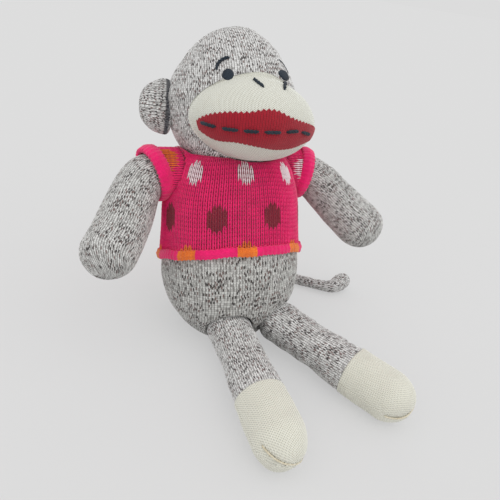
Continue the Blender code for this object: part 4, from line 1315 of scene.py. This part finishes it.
def makeJumper():
    low, high = trunkShareAt(jumper["hemHeight"]), jumper["topShare"]
    sides = 224
    turn = np.arange(sides) * math.tau / sides
    up = low + (high - low) * np.sin(np.linspace(0, math.pi / 2, 70))
    rows = foldedCloth(up, jumper["outerLift"], jumper["innerLift"])
    grid = jumperPoint(turn[None, :], rows[:, :1] + 0 * turn[None, :], rows[:, 1:])
    flat = grid.reshape(-1, 3)
    lifts = np.broadcast_to(rows[:, 1:], grid.shape[:2]).reshape(-1)
    flat = overArms(flat, limbs["armholeRadius"] - 0.0026 + lifts)
    flat = clearOfArmholes(flat, limbs["shoulderSeat"] - 0.0002, limbs["armholeRadius"], 0.0014)
    flat = underHead(flat)
    quads = loopGrid(flat.reshape(grid.shape))
    # The cloth is the darker pink: painted shade in the gaps between the stitches
    cloth = addPiece("jumperCloth", carried(torsoFrame, flat), [quads], "torso", [pinkShadeCloth], replaces=("jumper",))

    # Stitches: courses count up from the hem, wales round from the front
    shares = np.linspace(low, high, 200)
    lengths = lengthsAlong(jumperPoint(0 * shares + math.pi / 2, shares, jumper["outerLift"]))

    def surface(u, v, h):
        share = np.interp(v * jumper["course"], lengths, shares)
        local = jumperPoint(u / jumper["wales"] * math.tau, share, jumper["outerLift"] + h)
        local = overArms(local, limbs["armholeRadius"] - 0.0010 + h)
        local = roundArmholes(local, limbs["armholeRadius"] + 0.0003)
        return carried(torsoFrame, underHead(local))
    courseCount = int(lengths[-1] / jumper["course"])
    wale, course = (part.ravel() for part in np.meshgrid(np.arange(jumper["wales"]), np.arange(courseCount)))
    share = np.interp((course + 0.8) * jumper["course"], lengths, shares)
    local = jumperPoint((wale + 0.5) / jumper["wales"] * math.tau, share, jumper["outerLift"])
    local = overArms(local, limbs["armholeRadius"])
    moved = np.linalg.norm(underHead(local) - local, axis=1)
    # None stands deep under the head or in an armhole
    off = fromShoulders(local)[1]
    keep = (moved < 0.010) & ((off > limbs["armholeRadius"] - 0.0012) | (abs(local[:, 0]) < limbs["shoulderSeat"]))
    wale, course = wale[keep], course[keep]
    number = motifOf(wale, course)
    course = course + jumper["waleShift"] * np.sin(wale * 12.99)
    stitches = addStitches("jumperStitches", "torso", surface, wale, course, number,
                           np.array(stitchLeg["wides"])[number])

    # Hem: the cloth's edge rolled outwards, so its purl side shows
    around = np.arange(24) * math.tau / 24
    columns = 4 * jumper["wales"]
    turn = np.arange(columns) * math.tau / columns
    purl = 1 + jumper["hemPurl"] * (np.cos(around[:, None] * 6) + np.cos(turn * jumper["wales"])[None, :])
    lift = jumper["innerLift"] + jumper["hemThick"] * (1 - purl * np.cos(around)[:, None])
    drop = jumper["hemLong"] * purl * np.sin(around)[:, None] - jumper["rollRise"]
    drop = drop + jumper["hemWave"] * sum(np.sin(turn * count + start) for count, start in jumper["hemWaves"])
    grid = jumperPoint(turn[None, :] + 0 * lift, low + 0 * lift, lift, drop)
    quads = loopGrid(grid)
    # A round's orange columns go on down the hem
    colours = np.where(motifOf(np.arange(len(quads)) % columns // 4, 0) == 3, 3, 0)
    hem = addPiece("jumperHem", carried(torsoFrame, grid.reshape(-1, 3)), [quads], "torso", jumperYarns,
                   faceMaterials=colours)


makeJumper()
print("jumper made")


def makeSleeve(label, side):
    # Cloth: a folded tube from inside the armhole along the arm's curve
    shares = np.linspace(0, sleeve["lengthShare"], 40)
    path = armCurve(label, side, shares)
    radii = (limbs["armholeRadius"] - 0.0003) * follow(sleeve["swellShares"], shares / sleeve["lengthShare"])
    away = np.linspace(0, 1, 12)[:-1, None]
    root = away * path[0] + (1 - away) * np.array((side * 0.0001, 0, 0))
    path, radii = np.vstack((root, path)), np.concatenate((np.full(len(root), radii[0]), radii))
    matrix = shoulderFrame(side)
    surface = tubeSurface(path, radii, matrix)
    sides = 160
    turn = np.arange(sides) * math.tau / sides
    rows = foldedCloth(np.linspace(0, 1, 40), sleeve["clothLift"], 0.0003 - sleeve["wall"])
    grid = surface(np.tile(turn, len(rows)), *np.repeat(rows, sides, axis=0).T).reshape(-1, sides, 3)
    # The cloth is the darker pink: painted shade in the gaps between the stitches
    cloth = addPiece("sleeveCloth_" + label, grid.reshape(-1, 3), [loopGrid(grid)], "arm_" + label, [sleeveShadeCloth],
                     replaces=("sleeve_" + label,))

    # Stitches, with the one motif
    lengths = lengthsAlong(path)
    places = np.linspace(0, 1, len(path))

    def stitchSurface(u, v, h):
        share = np.interp(v * sleeve["course"], lengths, places)
        return surface(u / sleeve["wales"] * math.tau, share, h + sleeve["clothLift"])
    courseCount = int(lengths[-1] / sleeve["course"]) - 1
    wale, course = (part.ravel() for part in np.meshgrid(np.arange(sleeve["wales"]), np.arange(courseCount)))
    number, middle, first = sleeve["motif"][label]
    half = np.array(sleeve["motifHalves"] + (0,))[np.clip(course - first, -1, len(sleeve["motifHalves"]))]
    off = abs((wale + 0.5 - middle + sleeve["wales"] / 2) % sleeve["wales"] - sleeve["wales"] / 2)
    number = np.where(off < half, number, 0)
    stitches = addStitches("sleeveStitches_" + label, "arm_" + label, stitchSurface, wale, course, number,
                           np.where(number > 0, sleeve["motifWide"], 1.0))

    # Cuff: rolled like the hem
    around = np.arange(20)[:, None] * math.tau / 20
    centre = carried(matrix, path[-1:])
    outward = unit(surface(turn, np.ones(sides), 0.0) - centre)
    heading = unit(path[-1] - path[-2]) @ matrix[:3, :3].T
    purl = 1 + sleeve["cuffPurl"] * (np.cos(around * 6) + np.cos(turn * sleeve["wales"])[None, :])
    out = radii[-1] - sleeve["wall"] + sleeve["cuffThick"] - sleeve["cuffThick"] * purl * np.cos(around)
    along = sleeve["cuffLong"] * purl * np.sin(around) - sleeve["cuffBack"]
    grid = centre[None] + outward[None] * out[..., None] + heading * along[..., None]
    cuff = addPiece("cuff_" + label, grid.reshape(-1, 3), [loopGrid(grid)], "arm_" + label, [pinkYarn])


for label, side in (("right", -1), ("left", 1)):
    makeSleeve(label, side)
print("sleeves made")

ear = {
    "halfHeight": 0.0236, "reach": 0.0250, "halfThickness": 0.0072,
    "rise": -0.012, "places": {"right": 94.0, "left": 86.0}, "facing": 6.0, "rootLift": 0.001,
    "wale": 0.0017, "course": 0.0016, "relief": 0.0002, "lumpHeight": 0.0004, "lumpSize": 0.02,
}


def makeEar(label, side):
    # A padded half round: its height and thickness fall as an ellipse from the root to the outer edge
    place = math.radians(ear["places"][label]) * side
    root = headPoint(np.array([place]), np.array([0.0]), ear["rootLift"])[0] + (0, 0, ear["rise"])
    matrix = frameAt(turned(0, 0, -side * ear["facing"]), root, headFrame)

    def surface(turn, share):
        rise = riseOf(share)
        outer = rise > 0
        reach = np.where(outer, ear["reach"], ear["halfThickness"] * 0.8)
        x = reach * np.sin(rise)
        high = ear["halfHeight"] * np.cos(rise) ** np.where(outer, 0.9, 0.5)
        thick = ear["halfThickness"] * np.cos(rise) ** 0.75 * (1 - 0.4 * np.exp(-(rise / 0.28) ** 2))
        y = -thick * np.cos(turn)
        z = high * np.sign(np.sin(turn)) * abs(np.sin(turn)) ** 0.9
        return carried(matrix, np.stack((side * x, y, z), axis=-1))
    skin = raised(knitSkin(surface, ear["wale"], ear["course"]), ear, 50 + side)
    # The ear's knit gets painted shade, a dark bluish band along its root where it meets the head
    wool = marlKnit("marl knit of the ear, " + label, crease=(skin["courseAt"](0.5), 2.0, 0.85))
    addStuffed("earSkin_" + label, skin, "ear_" + label, wool, "ear_" + label)


for label, side in (("right", -1), ("left", 1)):
    makeEar(label, side)
print("ears made")

tail = {
    "bulbRadius": 0.0095,
    "swellShares": ((0, 0.5), (0.08, 0.7), (0.8, 0.74), (0.93, 1), (1, 1)),
    "route": ((0.000, 0.064, 0.0105), (0.007, 0.084, 0.0080), (0.050, 0.095, 0.0074),
              (0.104, 0.057, 0.0072), (0.141, 0.032, 0.0088), (0.162, 0.037, 0.0112)),
    "wale": 0.0021, "course": 0.0019, "relief": 0.0002, "lumpHeight": 0.0003, "lumpSize": 0.015,
}


def makeTail():
    route = np.array(tail["route"])
    stations = np.linspace(0, 1, len(route))
    shares = np.linspace(0, 1, 120)
    path = np.column_stack([follow(tuple(zip(stations, route[:, axis])), shares) for axis in range(3)])
    radii = tail["bulbRadius"] * follow(tail["swellShares"], shares)
    path, radii = roundedEnd(path[::-1], radii[::-1], radii[0], steps=8)
    path, radii = roundedEnd(path[::-1], radii[::-1], tail["bulbRadius"])
    skin = knitSkin(tubeSurface(path, radii), tail["wale"], tail["course"], centres=(0.0,))
    skin = raised(skin, tail, 61)
    skin["points"] = offFloor(skin["points"])
    addStuffed("tailSkin", skin, "tail", marl, "tail")


makeTail()
print("tail made")

# Light: a pale floor under broad soft lamps

light = {
    "background": colourOf(220, 220, 220),
    "floor": (0.675, 0.675, 0.675),
    "evening": 0.62,             # share of the floor's look that shadows don't reach, as on a bright sweep
    "world": 0.87,
    "suns": (        # direction that it shines from, strength, softness in degrees
        ((0.75, -0.55, 0.9), 0.42, 70.0),
        ((-0.5, -0.6, 1.2), 0.50, 90.0),
    ),
}


def makeLight():
    world = bpy.data.worlds.new("studio")
    world.use_nodes = True
    bpy.context.scene.world = world
    tree = world.node_tree
    background = tree.nodes["Background"]
    background.inputs["Strength"].default_value = light["world"]
    background.inputs["Color"].default_value = (1, 1, 1, 1)
    seen = tree.nodes.new("ShaderNodeBackground")
    seen.inputs["Color"].default_value = (*light["background"], 1)
    path = tree.nodes.new("ShaderNodeLightPath")
    mix = tree.nodes.new("ShaderNodeMixShader")
    tree.links.new(path.outputs["Is Camera Ray"], mix.inputs[0])
    tree.links.new(background.outputs[0], mix.inputs[1])
    tree.links.new(seen.outputs[0], mix.inputs[2])
    tree.links.new(mix.outputs[0], tree.nodes["World Output"].inputs["Surface"])
    for number, (place, power, softness) in enumerate(light["suns"], 1):
        lamp = bpy.data.lights.new(f"sun {number}", "SUN")
        lamp.energy = power
        lamp.angle = math.radians(softness)
        holder = bpy.data.objects.new(f"sun {number}", lamp)
        bpy.context.collection.objects.link(holder)
        holder.rotation_euler = (-Vector(place)).to_track_quat("-Z", "Y").to_euler()
    floorMesh = bpy.data.meshes.new("floor")
    reach = 60.0
    floorMesh.from_pydata([(-reach, -reach, 0), (reach, -reach, 0), (reach, reach, 0), (-reach, reach, 0)], [],
                          [(0, 1, 2, 3)])
    floor = bpy.data.objects.new("floor", floorMesh)
    bpy.context.collection.objects.link(floor)
    paint = bpy.data.materials.new("floor paint")
    paint.use_nodes = True
    shader = paint.node_tree.nodes["Principled BSDF"]
    for socket, value in (("Base Color", (*light["floor"], 1)), ("Roughness", 1.0), ("Specular IOR Level", 0.0)):
        shader.inputs[socket].default_value = value
    glow = addNode(paint, "ShaderNodeEmission", [("Color", (*light["background"], 1))])
    evening = addNode(paint, "ShaderNodeLightPath", output="Is Camera Ray") * light["evening"]
    blend = addNode(paint, "ShaderNodeMixShader", [(0, evening), (1, Signal(paint, shader.outputs[0])), (2, glow)])
    paint.node_tree.links.new(blend.socket, paint.node_tree.nodes["Material Output"].inputs["Surface"])
    floorMesh.materials.append(paint)


makeLight()
bpy.context.scene.view_settings.view_transform = "Standard"
print("light made")
